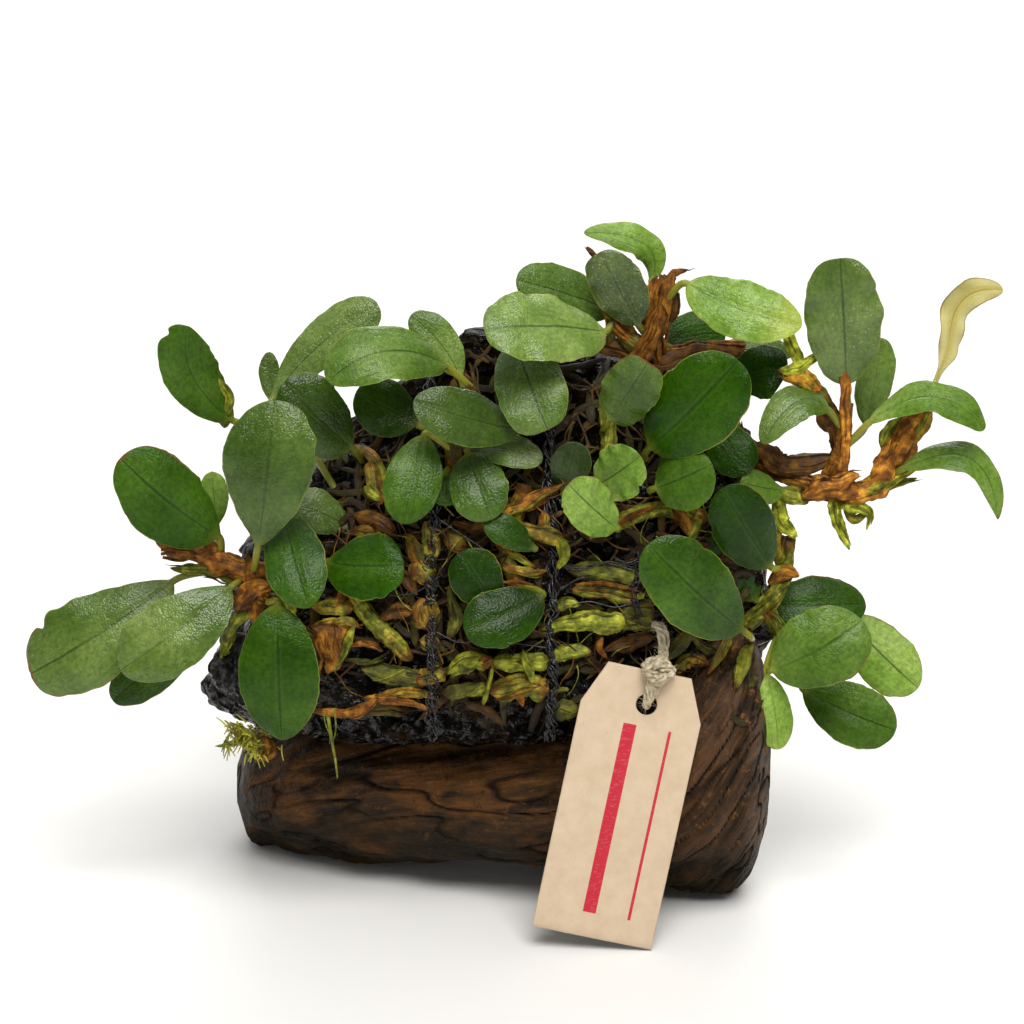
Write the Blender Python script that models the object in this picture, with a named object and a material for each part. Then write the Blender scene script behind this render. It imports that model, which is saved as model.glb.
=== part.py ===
"""Bucephalandra tied to a piece of driftwood, with a card swing tag on twine. Sizes are in millimetres here
and become metres in each mesh. X runs to the right, Y to the back and Z up, from the foot of the wood."""
from math import cos, pi, radians, sin

import bmesh
import bpy
import numpy as np
from mathutils import Vector
from mathutils.bvhtree import BVHTree

MM = 0.001
GAP = 0.3                     # left between pieces that touch

# The front view, from which the places of leaves and stems were read.
VIEW_TILT = radians(18)       # it looks down on the piece by this much
EYE_DISTANCE = 711.0
EYE_RISE = 90.0               # of the view's middle above the foot of the wood
RIGHT = np.array([1.0, 0.0, 0.0])
BACK = np.array([0.0, 1.0, 0.0])
SKY = np.array([0.0, 0.0, 1.0])
ASKEW = SKY + 0.37 * BACK + 0.21 * RIGHT     # a direction that no stem runs in
VIEW_UP = np.array([0.0, sin(VIEW_TILT), cos(VIEW_TILT)])
TO_EYE = np.array([0.0, -cos(VIEW_TILT), sin(VIEW_TILT)])
EYE = EYE_RISE * VIEW_UP + EYE_DISTANCE * TO_EYE

for old in list(bpy.data.objects):
    bpy.data.objects.remove(old, do_unlink=True)


def seen(u, v, front):
    """The point on the sight line through u mm right and v mm up in the front view, where that line
    is front mm in front of the middle of the wood."""
    mark = u * RIGHT + v * VIEW_UP
    share = (-front - EYE[1]) / (mark[1] - EYE[1])
    return EYE + share * (mark - EYE)


def unit(vector):
    return vector / np.linalg.norm(vector)


def smooth(at, places, values):
    """Values at the given places of a smooth curve: cubic pieces whose slopes come from the neighbours."""
    at, places, values = (np.asarray(a, dtype=float) for a in (at, places, values))
    slopes = np.gradient(values, places, axis=0)
    i = np.clip(np.searchsorted(places, at) - 1, 0, len(places) - 2)
    span = places[i + 1] - places[i]
    t = (at - places[i]) / span
    if values.ndim == 2:
        span, t = span[:, None], t[:, None]
    start = (1 + 2 * t) * (1 - t) ** 2 * values[i] + t * (1 - t) ** 2 * span * slopes[i]
    return start + t * t * (3 - 2 * t) * values[i + 1] + t * t * (t - 1) * span * slopes[i + 1]


def mesh_from(points, faces):
    """A mesh in metres from points in millimetres, with its faces turned outwards."""
    mesh = bpy.data.meshes.new("shape")
    mesh.from_pydata([tuple(p * MM) for p in np.asarray(points, dtype=float)], [], faces)
    shape = bmesh.new()
    shape.from_mesh(mesh)
    bmesh.ops.recalc_face_normals(shape, faces=shape.faces)
    bmesh.ops.triangulate(shape, faces=shape.faces)
    shape.to_mesh(mesh)
    shape.free()
    return mesh


def loft(rings):
    """A closed skin over rings of equal numbers of points, with a fan of triangles at each end."""
    rings = np.asarray(rings, dtype=float)
    count, around = rings.shape[:2]
    points = list(rings.reshape(-1, 3)) + [rings[0].mean(axis=0), rings[-1].mean(axis=0)]
    first_middle, last_middle = len(points) - 2, len(points) - 1
    last = (count - 1) * around
    faces = []
    for k in range(around):
        n = (k + 1) % around
        faces.append((first_middle, n, k))
        faces.append((last_middle, last + k, last + n))
        for i in range(count - 1):
            a, b = i * around, (i + 1) * around
            faces.append((a + k, a + n, b + n, b + k))
    return mesh_from(points, faces)


def tube(path, radii, sides=6, steps=1):
    """A round stem along a smooth curve through the path's points, tapering through the given radii."""
    path = np.asarray(path, dtype=float)
    knots = np.arange(len(path))
    at = np.linspace(0, len(path) - 1, (len(path) - 1) * steps + 1)
    middles = smooth(at, knots, path)
    sizes = np.interp(at, np.linspace(0, len(path) - 1, len(radii)), radii)
    tangents = np.gradient(middles, axis=0)
    side = unit(np.cross(tangents[0], unit(ASKEW)))
    rings = []
    for middle, size, tangent in zip(middles, sizes, tangents):
        along = unit(tangent)
        side = unit(side - np.dot(side, along) * along)
        over = np.cross(along, side)
        turns = np.arange(sides) * 2 * pi / sides
        rings.append([middle + size * (cos(a) * side + sin(a) * over) for a in turns])
    return loft(rings)


def swollen(mesh, by=GAP):
    """A copy of a closed mesh with its skin moved outwards."""
    shape = bmesh.new()
    shape.from_mesh(mesh)
    shape.normal_update()
    moves = [vertex.normal * by * MM for vertex in shape.verts]
    for vertex, move in zip(shape.verts, moves):
        vertex.co += move
    copy = bpy.data.meshes.new("cutter")
    shape.to_mesh(copy)
    shape.free()
    return copy


def fused(shapes, cutters=()):
    """One mesh: the first shape with the others joined to it and then the cutters taken away."""
    body = bpy.data.objects.new("body", shapes[0])
    bpy.context.scene.collection.objects.link(body)
    helpers = [body]
    for operation, meshes in (("UNION", shapes[1:]), ("DIFFERENCE", cutters)):
        for mesh in meshes:
            helper = bpy.data.objects.new("helper", mesh)
            bpy.context.scene.collection.objects.link(helper)
            helpers.append(helper)
            cut = body.modifiers.new("join", "BOOLEAN")
            cut.operation = operation
            cut.object = helper
            cut.solver = "EXACT"
    bpy.context.view_layer.update()
    depsgraph = bpy.context.evaluated_depsgraph_get()
    result = bpy.data.meshes.new_from_object(body.evaluated_get(depsgraph))
    for helper in helpers:
        bpy.data.objects.remove(helper, do_unlink=True)
    return result


def material(name, colour, roughness):
    paint = bpy.data.materials.new(name)
    paint.use_nodes = True
    shader = paint.node_tree.nodes["Principled BSDF"]
    shader.inputs["Base Color"].default_value = (*colour, 1.0)
    shader.inputs["Roughness"].default_value = roughness
    return paint


def add_part(name, mesh, colour, roughness):
    """A named piece of the plant, standing under the empty that carries the whole."""
    mesh.name = name
    mesh.materials.clear()
    mesh.materials.append(material(name, colour, roughness))
    part = bpy.data.objects.new(name, mesh)
    bpy.context.scene.collection.objects.link(part)
    part.parent = stand
    mesh.shade_smooth()
    mesh.set_sharp_from_angle(angle=radians(50))
    return part


# The origin is on the ground under the middle of the whole piece's outline box.
BOX_MIDDLE = (0.0, 8.5, 0.0)
stand = bpy.data.objects.new("stand", None)
stand.location = [-place * MM for place in BOX_MIDDLE]
bpy.context.scene.collection.objects.link(stand)

# Driftwood, lower part: a smooth brown log that lies across the front view, its right end nearer and
# rising as a stump. Each row is a station along X: middle of the section in Y and Z, half depth and
# half height.
LOG_ROWS = np.array([
    (-70.0, 21.0, 14.5, 4.0, 4.5),
    (-67.5, 20.5, 15.5, 11.0, 10.0),
    (-59.0, 18.0, 17.0, 19.0, 15.7),
    (-46.0, 15.0, 18.5, 23.5, 19.9),
    (-32.0, 12.0, 20.0, 25.0, 21.4),
    (-12.0, 7.5, 22.0, 26.0, 20.3),
    (12.0, 2.0, 23.0, 27.0, 20.8),
    (30.0, -2.0, 27.0, 27.0, 26.8),
    (42.0, -4.5, 33.0, 26.5, 35.2),
    (52.0, -7.0, 34.0, 23.0, 35.8),
    (58.5, -9.0, 35.0, 17.0, 30.0),
    (62.0, -10.5, 36.0, 8.0, 18.0),
])
LOG_STATIONS, LOG_AROUND = 12, 16
# Ridges along the log: depth as a share of the radius, number round the log, turn per mm along it.
LOG_RIDGES = ((0.022, 4, 0.06), (0.018, 7, -1 / 14))


def log_rings(stations, around):
    """Sections across the log: ovals with shallow ridges that run along it, cut flat at the
    foot, where the log stands on the ground."""
    x = smooth(np.linspace(0, len(LOG_ROWS) - 1, stations), np.arange(len(LOG_ROWS)), LOG_ROWS[:, 0])
    middle_y, middle_z, depth, height = (smooth(x, LOG_ROWS[:, 0], LOG_ROWS[:, k])[:, None]
                                         for k in (1, 2, 3, 4))
    turn = (np.arange(around) + 0.5) * 2 * pi / around
    ridge = 1 + sum(deep * np.sin(count * turn + twist * x[:, None]) for deep, count, twist in LOG_RIDGES)
    y = middle_y + depth * ridge * np.cos(turn)
    z = np.maximum(middle_z + height * ridge * np.sin(turn), 0)
    return np.stack([x[:, None] + 0 * y, y, z], axis=-1)


# Driftwood, upper part: the rough dark mass on the log. Each row is a level: height, left edge, right
# edge, middle in Y and half depth.
UPPER_ROWS = np.array([
    (38.0, -62.0, 55.0, 8.0, 18.0),
    (44.0, -69.0, 58.0, 5.0, 27.0),
    (52.0, -73.0, 60.5, 4.0, 30.0),
    (62.0, -73.0, 61.0, 4.0, 31.0),
    (74.0, -69.0, 61.5, 4.5, 30.0),
    (88.0, -60.0, 63.0, 5.0, 27.0),
    (102.0, -48.0, 60.0, 6.0, 23.0),
    (115.0, -37.0, 55.0, 7.5, 19.0),
    (125.0, -27.0, 46.0, 8.5, 14.0),
    (131.0, -19.0, 22.0, 9.0, 10.0),
    (137.0, -13.0, 2.0, 9.0, 5.0),
])
UPPER_LEVELS, UPPER_AROUND = 12, 20
UPPER_SQUARE = 0.8            # 1 would make the levels true ovals
# Lumps: depth as a share of the radius, number round the wood, turn per mm of height.
UPPER_LUMPS = ((0.035, 3, 0.11), (0.03, 5, -0.17), (0.02, 8, 0.31))


def upper_rings(levels, around):
    """Level sections of the upper mass: squarish ovals whose edge swells and dips in lumps."""
    z = np.linspace(UPPER_ROWS[0, 0], UPPER_ROWS[-1, 0], levels)
    left, right, middle_y, depth = (smooth(z, UPPER_ROWS[:, 0], UPPER_ROWS[:, k])[:, None]
                                    for k in (1, 2, 3, 4))
    turn = np.arange(around) * 2 * pi / around
    lump = 1 + sum(deep * np.sin(count * turn + twist * z[:, None]) for deep, count, twist in UPPER_LUMPS)
    across = np.sign(np.cos(turn)) * np.abs(np.cos(turn)) ** UPPER_SQUARE
    back = np.sign(np.sin(turn)) * np.abs(np.sin(turn)) ** UPPER_SQUARE
    x = (left + right) / 2 + (right - left) / 2 * lump * across
    y = middle_y + depth * lump * back
    return np.stack([x, y, z[:, None] + 0 * x], axis=-1)


log_shape = loft(log_rings(LOG_STATIONS, LOG_AROUND))
upper_shape = fused([loft(upper_rings(UPPER_LEVELS, UPPER_AROUND))], [swollen(log_shape)])
WOOD_BROWN, WOOD_BLACK = (0.10, 0.045, 0.022), (0.035, 0.028, 0.024)
WOOD_CUTTERS = [swollen(log_shape), swollen(upper_shape)]

probe = bmesh.new()
for wood_shape in (log_shape, upper_shape):
    probe.from_mesh(wood_shape)
WOOD_SKIN = BVHTree.FromBMesh(probe)
probe.free()


def on_wood(u, v, lift):
    """The point where the sight line through (u, v) of the front view meets the wood, lifted off it."""
    start = Vector(EYE * MM)
    way = Vector(unit(u * RIGHT + v * VIEW_UP - EYE))
    hit = WOOD_SKIN.ray_cast(start, way)[0]
    return np.array(hit - way * lift * MM) / MM


add_part("driftwood_log", log_shape, WOOD_BROWN, 0.6)
add_part("driftwood_upper", upper_shape, WOOD_BLACK, 0.45)

# Rhizomes: creeping stems with a stub at the end. Each has a main stem and may have side stems; a stem
# is a list of places (u, v, front) that it passes, its thickness at the start and at the end.
RUST, OLIVE, BROWN = (0.30, 0.12, 0.025), (0.20, 0.19, 0.035), (0.12, 0.07, 0.025)
RHIZOMES = {
    "rhizome_left": (RUST, {
        "left": ([(-49, 68, 12), (-60, 72, 14), (-68, 75, 13), (-78, 79.5, 10), (-87, 80.5, 8)], 3.0, 2.4),
        "left_low": ([(-64, 73.5, 13), (-62.5, 69, 19), (-61, 67.5, 23)], 2.0, 1.6)}),
    "rhizome_upper_left": (BROWN, {
        "upper_left": ([(-40, 104, -4), (-50, 108, -2), (-58, 112, -2), (-66, 112, -3)], 2.2, 1.7)}),
    "rhizome_top_left": (BROWN, {
        "top_left": ([(-14.5, 97, 9), (-14.5, 105, 14), (-13.5, 112, 12), (-10, 121, 7)], 2.4, 1.8)}),
    "crown_top": (RUST, {
        "crown": ([(36, 122, -1), (36, 131, 2), (37, 140, 3), (39, 149, 2)], 3.2, 2.0),
        "crown_left": ([(36, 129, 2), (29, 134, 4), (25, 137, 4)], 2.2, 1.6),
        "top_runner": ([(36, 128, 1), (46, 131, -1), (58, 131, -3)], 2.2, 1.6)}),
    "rhizome_right": (RUST, {
        "branch": ([(56, 107, -1), (67, 100, 3), (76, 96, 6), (84, 94.5, 7), (92, 97, 6), (97, 108, 4),
                    (103, 118, 3)], 3.0, 2.0),
        "branch_mid": ([(78, 95.5, 6), (82, 106, 7), (84, 117, 8)], 2.2, 1.5)}),
    "rhizome_right_low": (OLIVE, {
        "right_low": ([(56, 61, 10), (64, 67, 13), (68, 75, 9), (69, 84, 6)], 2.6, 1.8),
        "right_out": ([(63, 66, 13), (69, 57, 12), (73, 51, 9)], 2.2, 1.6)}),
}
# Stems that lie on the front of the wood: places (u, v), their lift off the wood and their thickness.
LYING_STEMS = {
    "stem_front": (OLIVE, {"stem_front": ([(-40, 70), (-36, 64), (-30, 58), (-25, 53)], 1.6, 2.1)}),
    "rhizome_middle": (OLIVE, {"middle": ([(3, 97), (1, 89), (-1.5, 80), (2, 71)], 1.5, 2.0)}),
    "rhizome_middle_right": (OLIVE, {"middle_right": ([(19, 85), (28, 88), (38, 91), (49, 88)], 1.4, 2.0)}),
}

stem_paths, stem_parts = {}, {}
for node, (colour, stems) in RHIZOMES.items():
    stem_parts[node] = (colour, [])
    for stem, (places, start, end) in stems.items():
        stem_paths[stem] = np.array([seen(*place) for place in places])
        stem_parts[node][1].append(tube(stem_paths[stem], (start, end)))
for node, (colour, stems) in LYING_STEMS.items():
    stem_parts[node] = (colour, [])
    for stem, (places, lift, size) in stems.items():
        stem_paths[stem] = np.array([on_wood(u, v, lift) for u, v in places])
        stem_parts[node][1].append(tube(stem_paths[stem], (size, size)))

# Rhizomes behind the wood: places (x, y, z).
BACK_STEMS = {
    "rhizome_back_left": [(-42, 27, 60), (-43, 37, 66), (-41, 42, 75)],
    "rhizome_back_middle": [(2, 24, 84), (3, 34, 92), (7, 38, 100)],
    "rhizome_back_right": [(40, 28, 58), (42, 37, 65), (40, 42, 74)],
}
for node, places in BACK_STEMS.items():
    stem_paths[node] = np.array(places, dtype=float)
    stem_parts[node] = (OLIVE, [tube(stem_paths[node], (2.4, 1.8))])


def root_of(grows_from):
    """Where a stalk starts: a share of the way along a stem, or a place in the wood."""
    if isinstance(grows_from[0], str):
        path = stem_paths[grows_from[0]]
        return smooth([grows_from[1] * (len(path) - 1)], np.arange(len(path)), path)[0]
    return seen(*grows_from)


# Leaves. A blade's half width at a share t of its length is half its width times
# sin(pi t^BLADE_PEAK)^BLADE_BLUNT, so it is widest near the middle and has a blunt tip.
BLADE_PEAK, BLADE_BLUNT = 1.12, 0.62
BLADE_SHARES = (0.11, 0.3, 0.52, 0.74, 0.91, 1.0)
SMALL_SHARES = (0.2, 0.5, 0.82, 1.0)
TIP_SHARE = 0.1               # half width left at the very tip
BLADE_THICK, FURROW = 0.9, 0.6   # the midrib lies in a furrow, at this share of the blade's thickness
STALK_SIZE, STALK_BOW = 0.85, 0.1
STALK_RINGS = ((0.0, 1.0), (0.6, 0.95))      # share of the stalk's length, and its size there
STALK_TURN = 0.4              # how far a stalk's section already turns towards the blade's direction
EDGE_DROP = 0.07              # how far the edges hang back, as a share of the width


def leaf(root, base, tip, arch, width, look, shares=BLADE_SHARES):
    """A stalk from the root to the blade's base, and the blade from there to its tip. The midrib bows
    by arch at its middle; look is how far the face looks right and up, beside its look at the viewer."""
    face = unit(TO_EYE + look[0] * RIGHT + look[1] * SKY)
    chord = tip - base
    turn = np.arange(6) * pi / 3
    rings = []
    stalk = base - root
    side = np.cross(unit(stalk) + STALK_TURN * unit(chord), face)
    side = unit(side - np.dot(side, unit(stalk)) * unit(stalk))
    over = unit(np.cross(side, stalk))
    for share, size in STALK_RINGS:
        bow = STALK_BOW * np.linalg.norm(stalk) * 4 * share * (1 - share)
        middle = root + share * stalk + bow * over
        rings.append([middle + size * STALK_SIZE * (-cos(a) * side + sin(a) * over) for a in turn])
    for share in shares:
        along = unit(chord + (4 - 8 * share) * arch)
        middle = base + share * chord + 4 * share * (1 - share) * arch
        side = unit(np.cross(along, face))
        over = np.cross(side, along)
        spread = max(sin(pi * share ** BLADE_PEAK), 0) ** BLADE_BLUNT
        half = width / 2 * max(spread, TIP_SHARE)
        edge = middle - 2 * EDGE_DROP * half * over
        upper, lower = (middle + way * BLADE_THICK / 2 * over for way in (1, -1))
        midrib = middle + FURROW * BLADE_THICK / 2 * over
        rings.append([edge - half * side, upper - half / 2 * side, midrib,
                      upper + half / 2 * side, edge + half * side, lower])
    return loft(rings)


DEEP, FRESH, GREY = (0.045, 0.13, 0.012), (0.12, 0.30, 0.045), (0.09, 0.17, 0.06)
DARK, PALE = (0.02, 0.05, 0.015), (0.55, 0.52, 0.25)
# Each leaf: where its stalk starts; the blade's base and tip as (u, v, front); the bow of its midrib;
# its width; how far its face looks right and up; its colour.
LEAVES = {
    "leaf_upper_left_1": (("upper_left", 1.0), (-70, 113, 0), (-82.5, 137, 4), (-5, 0, 2), 15,
                          (0.1, 0.1), DEEP),
    "leaf_upper_left_2": (("upper_left", 0.7), (-60, 118, -5), (-33.5, 142, -11), (-1.5, 1.5, 0), 12.5,
                          (-0.2, 0.3), GREY),
    "leaf_upper_left_3": ((-36, 100, 0), (-40.5, 106, 9), (-53, 122, 12), (0, 0, 2), 15, (0, 0.3), DEEP),
    "leaf_left_1": (("left", 0.62), (-73.5, 84, 14), (-98.5, 104, 20), (0, 0, 3), 19.5, (0, 0.1), DEEP),
    "leaf_left_2": (("left", 0.4), (-63.5, 81.5, 25), (-59.5, 118, 22), (0.5, 0, 4), 25, (0, 0.1), GREY),
    "leaf_left_3": ((-52, 94, -2), (-57, 89.5, 15), (-50.5, 66, 32), (0, 0, 3), 14.5, (0, 0.2), DEEP),
    "leaf_left_4": (("left", 0.56), (-85, 72.5, 10), (-120.5, 49.5, 16), (0, 0, 4), 21.5, (0, 0.2), DEEP),
    "leaf_left_5": (("left", 0.44), (-70.5, 71, 20), (-98, 50.5, 27), (0, 0, 3), 18, (0, 0.2), GREY),
    "leaf_left_6": (("left_low", 1.0), (-58.5, 67, 28), (-57.5, 33, 32), (0, 0, 4), 20, (0, 0), DEEP),
    "leaf_left_7": ((-50, 72, 12), (-46, 77.5, 21), (-27, 77, 28), (0, 0, 2), 16, (0, 0.3), DEEP),
    "leaf_top_left_1": (("top_left", 1.0), (-16.5, 126.5, 9), (-46, 122.5, 22), (0, 6, 2), 15.5,
                        (0, 0.6), FRESH),
    "leaf_top_left_2": ((8, 112, 2), (1, 109, 17), (-24.5, 115, 27), (0, 0, 2), 12.5, (0, 0.4), GREY),
    "leaf_top_left_3": (("top_left", 0.35), (-22, 109, 19), (-27.5, 87, 30), (0, 0, 2), 13, (0, 0), DEEP),
    "leaf_top_left_4": ((-8, 106, 4), (-10, 104, 17), (-4, 88, 26), (0, 0, 2), 12.5, (0, 0.2), DEEP),
    "leaf_top_1": (("crown_left", 1.0), (23, 135, 8), (-7, 135.5, 24), (0, 2, 3), 18, (0, 0.5), DEEP),
    "leaf_top_2": (("crown_left", 0.55), (25, 140, 0), (1, 148, 8), (0, 1, 1), 13, (0, 0.3), FRESH),
    "leaf_top_3": (("crown", 0.35), (31.5, 137, 6), (22, 155, 8), (0, 0, 1), 12.5, (-0.2, 0.1), GREY),
    "leaf_top_4": (("crown", 0.95), (35, 148, -4), (18, 160, -4), (6, 3, 0), 8, (0, 0.6), FRESH),
    "leaf_top_5": (("crown", 0.7), (44, 147, 8), (72.5, 136.5, 15), (0, -1, 2), 14.5, (0, 0.3), FRESH),
    "leaf_top_6": ((22, 108, 4), (25, 114, 17), (34, 127, 24), (0, 0, 1), 13, (0, 0.2), DEEP),
    "leaf_top_7": ((34, 102, 6), (34.5, 106, 20), (56.5, 128, 24), (0, 0, 2), 20, (0, 0.2), DEEP),
    "leaf_top_8": ((6, 127, -6), (2.5, 128, 9), (9.5, 110, 24), (0, 0, 3), 17, (0, 0.3), DEEP),
    "leaf_right_1": (("branch_mid", 0.7), (79, 115.5, 9), (62.5, 107, 18), (0, 6, 0), 10, (0, 0.8), FRESH),
    "leaf_right_2": (("branch_mid", 1.0), (83.5, 122, 9), (82.5, 153.5, 12), (0, 0, 2), 19, (0, 0), GREY),
    "leaf_right_3": (("branch", 0.62), (89, 112, 1), (94, 134, -2), (0, 0, 1), 9, (0, 0.1), FRESH),
    "leaf_right_4": (("branch", 0.75), (92, 114, 9), (118, 111, 14), (1, 7, 1), 10, (0, 1.1), FRESH),
    "leaf_right_5": (("branch", 0.97), (105.5, 121.5, 2), (122.5, 145, -3), (-3.5, 3, 0), 7.5,
                     (0.3, 0), PALE),
    "leaf_right_6": (("branch", 0.68), (98, 101, 9), (121.5, 88, 13), (4, 9, 1), 9, (0, 1.1), FRESH),
    "leaf_middle_1": ((35, 95, 8), (36, 96, 21), (50, 102, 26), (0, 0, 1), 15.5, (0, 0.2), DEEP),
    "leaf_middle_2": ((24, 95, 5), (21, 96.5, 21), (32, 104, 28), (0, 0, 1), 13, (0, 0.2), FRESH),
    "leaf_middle_3": (("middle_right", 0.25), (26, 86, 27), (14, 97, 33), (0, 0, 1), 12, (0, 0.2), FRESH),
    "leaf_middle_4": ((-6, 62, 14), (-4, 67, 29), (-13, 80, 28), (0, 0, 1), 12.5, (0, 0), DARK),
    "leaf_middle_5": (("middle", 0.95), (7.5, 69, 28), (-12, 60.5, 36), (0, 0, 2), 14, (0, 0.2), DEEP),
    "leaf_low_right_1": (("right_low", 0.7), (63, 78, 15), (53, 95.5, 22), (0, 0, 2), 14, (0, 0.1), DARK),
    "leaf_low_right_2": ((60, 58, 8), (57.5, 60.5, 28), (34, 82, 34), (0, 0, 3), 18.5, (0, 0.1), DEEP),
    "leaf_low_right_3": (("right_low", 0.36), (68, 66, 6), (88, 67, 2), (0, 0, 2), 13.5, (0, 0.3), DEEP),
    "leaf_low_right_4": (("right_out", 0.55), (66, 50, 21), (88, 62.5, 20), (0, 0, 3), 19, (0, 0.1), FRESH),
    "leaf_low_right_5": ((59, 63, -8), (83, 64, -7), (101.5, 46, -1), (0, 0, 2), 15, (0, 0.2), FRESH),
    "leaf_low_right_6": (("right_out", 1.0), (73, 45.5, 9), (96, 35.5, 12), (0, 0, 2), 15, (0, 0.1), DEEP),
}
# Small leaves, joined to the rhizome that they grow from.
SMALL_LEAVES = [
    ("rhizome_left", ("left", 0.5), (-78, 62, 11), (-100, 43, 13), (0, 0, 2), 12, (0, 0.1)),
    ("rhizome_left", ("left", 0.6), (-74, 87, 5), (-75, 100, 5), (0, 0, 0), 7, (0, 0)),
    ("rhizome_upper_left", ("upper_left", 0.4), (-49, 93, 9), (-43, 85, 18), (0, 0, 1), 8, (0, 0.2)),
    ("rhizome_top_left", ("top_left", 0.9), (-13, 124, 3), (-25.5, 139, 0), (1, 1, 0), 9, (0, 0.2)),
    ("rhizome_top_left", ("top_left", 0.55), (-27, 114, 10), (-31, 123, 6), (0, 0, 0), 12, (0, 0.1)),
    ("rhizome_top_left", ("top_left", 0.2), (-18, 99, 18), (-16, 92, 21), (0, 0, 0), 6, (0, 0)),
    ("rhizome_top_left", ("top_left", 0.4), (-10, 105.5, 16), (7, 100.5, 20), (0, 1, 1), 6.5, (0, 0.5)),
    ("crown_top", ("top_runner", 0.3), (42, 135, -3), (50, 139, -8), (0, 0, 0), 9, (0, 0)),
    ("crown_top", ("top_runner", 0.85), (54, 132, -3), (69, 130, -5), (0, 1, 0), 5, (0, 0.8)),
    ("crown_top", ("top_runner", 0.95), (56, 127, 3), (67, 122, 5), (0, 0, 0), 10, (0, 0.2)),
    ("rhizome_right", ("branch", 0.16), (55, 111, 9), (58, 102, 15), (0, 0, 0), 9, (0, 0.1)),
    ("rhizome_right", ("branch", 0.3), (66, 96, 8), (58, 94, 12), (0, 0, 1), 7, (0, 0.3)),
    ("rhizome_right_low", ("right_low", 0.55), (59, 72, 15), (51.5, 83.5, 17), (0, 0, 0), 9, (0, 0)),
    ("rhizome_right_low", ("right_out", 0.3), (64, 49, 11), (67.5, 30, 13), (0, 0, 1), 9, (0.2, 0)),
    ("rhizome_middle", ("middle", 0.47), (-2, 84, 22), (-8, 91, 24), (0, 0, 1), 7, (0, 0.2)),
    ("rhizome_middle_right", ("middle_right", 0.05), (14, 97, 17), (17, 106, 19), (0, 0, 1), 8, (0, 0.1)),
]
# Leaves behind the wood, as (x, y, z), joined to their rhizomes in the same way.
BACK_BOW, BACK_LOOK = (0, 2.0, 0), (0, 0.3)
BACK_LEAVES = [
    ("rhizome_back_left", 0.8, (-48, 45, 71), (-66, 54, 74), 14),
    ("rhizome_back_left", 1.0, (-43, 47, 79), (-50, 53, 98), 15),
    ("rhizome_back_left", 0.9, (-37, 48, 74), (-20, 58, 76), 14),
    ("rhizome_back_left", 0.6, (-44, 46, 63), (-48, 56, 45), 15),
    ("rhizome_back_middle", 0.8, (-1, 41, 96), (-18, 50, 103), 15),
    ("rhizome_back_middle", 1.0, (9, 42, 103), (24, 50, 108), 14),
    ("rhizome_back_middle", 0.6, (5, 44, 90), (6, 56, 70), 16),
    ("rhizome_back_right", 0.8, (46, 45, 70), (61, 52, 80), 13),
    ("rhizome_back_right", 1.0, (38, 47, 79), (30, 54, 95), 14),
    ("rhizome_back_right", 0.6, (40, 46, 62), (36, 56, 44), 15),
]
# Every stem of a node, a little swollen, cuts the stalks that grow from that node.
STEM_SKINS = {}
for node, (colour, stems) in {**RHIZOMES, **LYING_STEMS}.items():
    for stem in stems:
        STEM_SKINS[stem] = [swollen(shape) for shape in stem_parts[node][1]]

for node, grows_from, base, tip, bow, width, look in SMALL_LEAVES:
    points = [root_of(grows_from), seen(*base), seen(*tip), np.array((bow[0], -bow[2], bow[1]))]
    stem_parts[node][1].append(leaf(*points, width, look, SMALL_SHARES))
for node, share, base, tip, width in BACK_LEAVES:
    points = [root_of((node, share)), np.array(base, float), np.array(tip, float), np.array(BACK_BOW)]
    stem_parts[node][1].append(leaf(*points, width, BACK_LOOK, SMALL_SHARES))
for node, (colour, shapes) in stem_parts.items():
    add_part(node, fused(shapes, WOOD_CUTTERS), colour, 0.5)

for node, (grows_from, base, tip, bow, width, look, colour) in LEAVES.items():
    points = [root_of(grows_from), seen(*base), seen(*tip), np.array((bow[0], -bow[2], bow[1]))]
    cutters = STEM_SKINS[grows_from[0]] if isinstance(grows_from[0], str) else WOOD_CUTTERS
    add_part(node, fused([leaf(*points, width, look)], cutters), colour, 0.35)

# Net bands: dark thread twisted into cords that run round the upper wood, over the stems, with both ends
# tucked into the cleft between the log and the upper wood. Each is given by its place along X.
NET_BLACK = (0.012, 0.012, 0.013)
NET_BANDS = {"net_left": -18.7, "net_middle": 9.3}
NET_RADIUS, NET_LIFT = 1.2, 3.6
NET_MIDDLE_Y, NET_MIDDLE_Z, NET_REACH = 6.0, 62.0, 120.0
NET_TURNS = np.radians(np.linspace(-24, 204, 25))

for node, x in NET_BANDS.items():
    middle = np.array([x, NET_MIDDLE_Y, NET_MIDDLE_Z])
    path = []
    for turn in NET_TURNS:
        outward = -cos(turn) * BACK + sin(turn) * SKY
        hit = WOOD_SKIN.ray_cast(Vector((middle + NET_REACH * outward) * MM), Vector(-outward))[0]
        path.append(np.array(hit) / MM + NET_LIFT * outward)
    add_part(node, tube(path, (NET_RADIUS, NET_RADIUS), sides=4), NET_BLACK, 0.3)

# Swing tag: a stiff card with two corners cut off and a round hole, turned so that it stands on its lower
# right corner and leans back against the stump.
TAG_LENGTH, TAG_WIDTH, TAG_TOP_WIDTH, TAG_SHOULDER, TAG_THICK = 65.3, 28.6, 19.7, 55.0, 0.6
HOLE_UP, HOLE_ASIDE, HOLE_RADIUS, HOLE_SIDES = 57.2, 0.9, 2.45, 12
TAG_TURN, TAG_LEAN = radians(11.8), radians(11)
TAG_CORNER = seen(34.75, -19.75, 43.3)
lean = sin(TAG_LEAN) * BACK + cos(TAG_LEAN) * SKY
TAG_UP = cos(TAG_TURN) * lean + sin(TAG_TURN) * RIGHT
TAG_RIGHT = cos(TAG_TURN) * RIGHT - sin(TAG_TURN) * lean
TAG_OUT = np.cross(TAG_RIGHT, TAG_UP)


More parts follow.
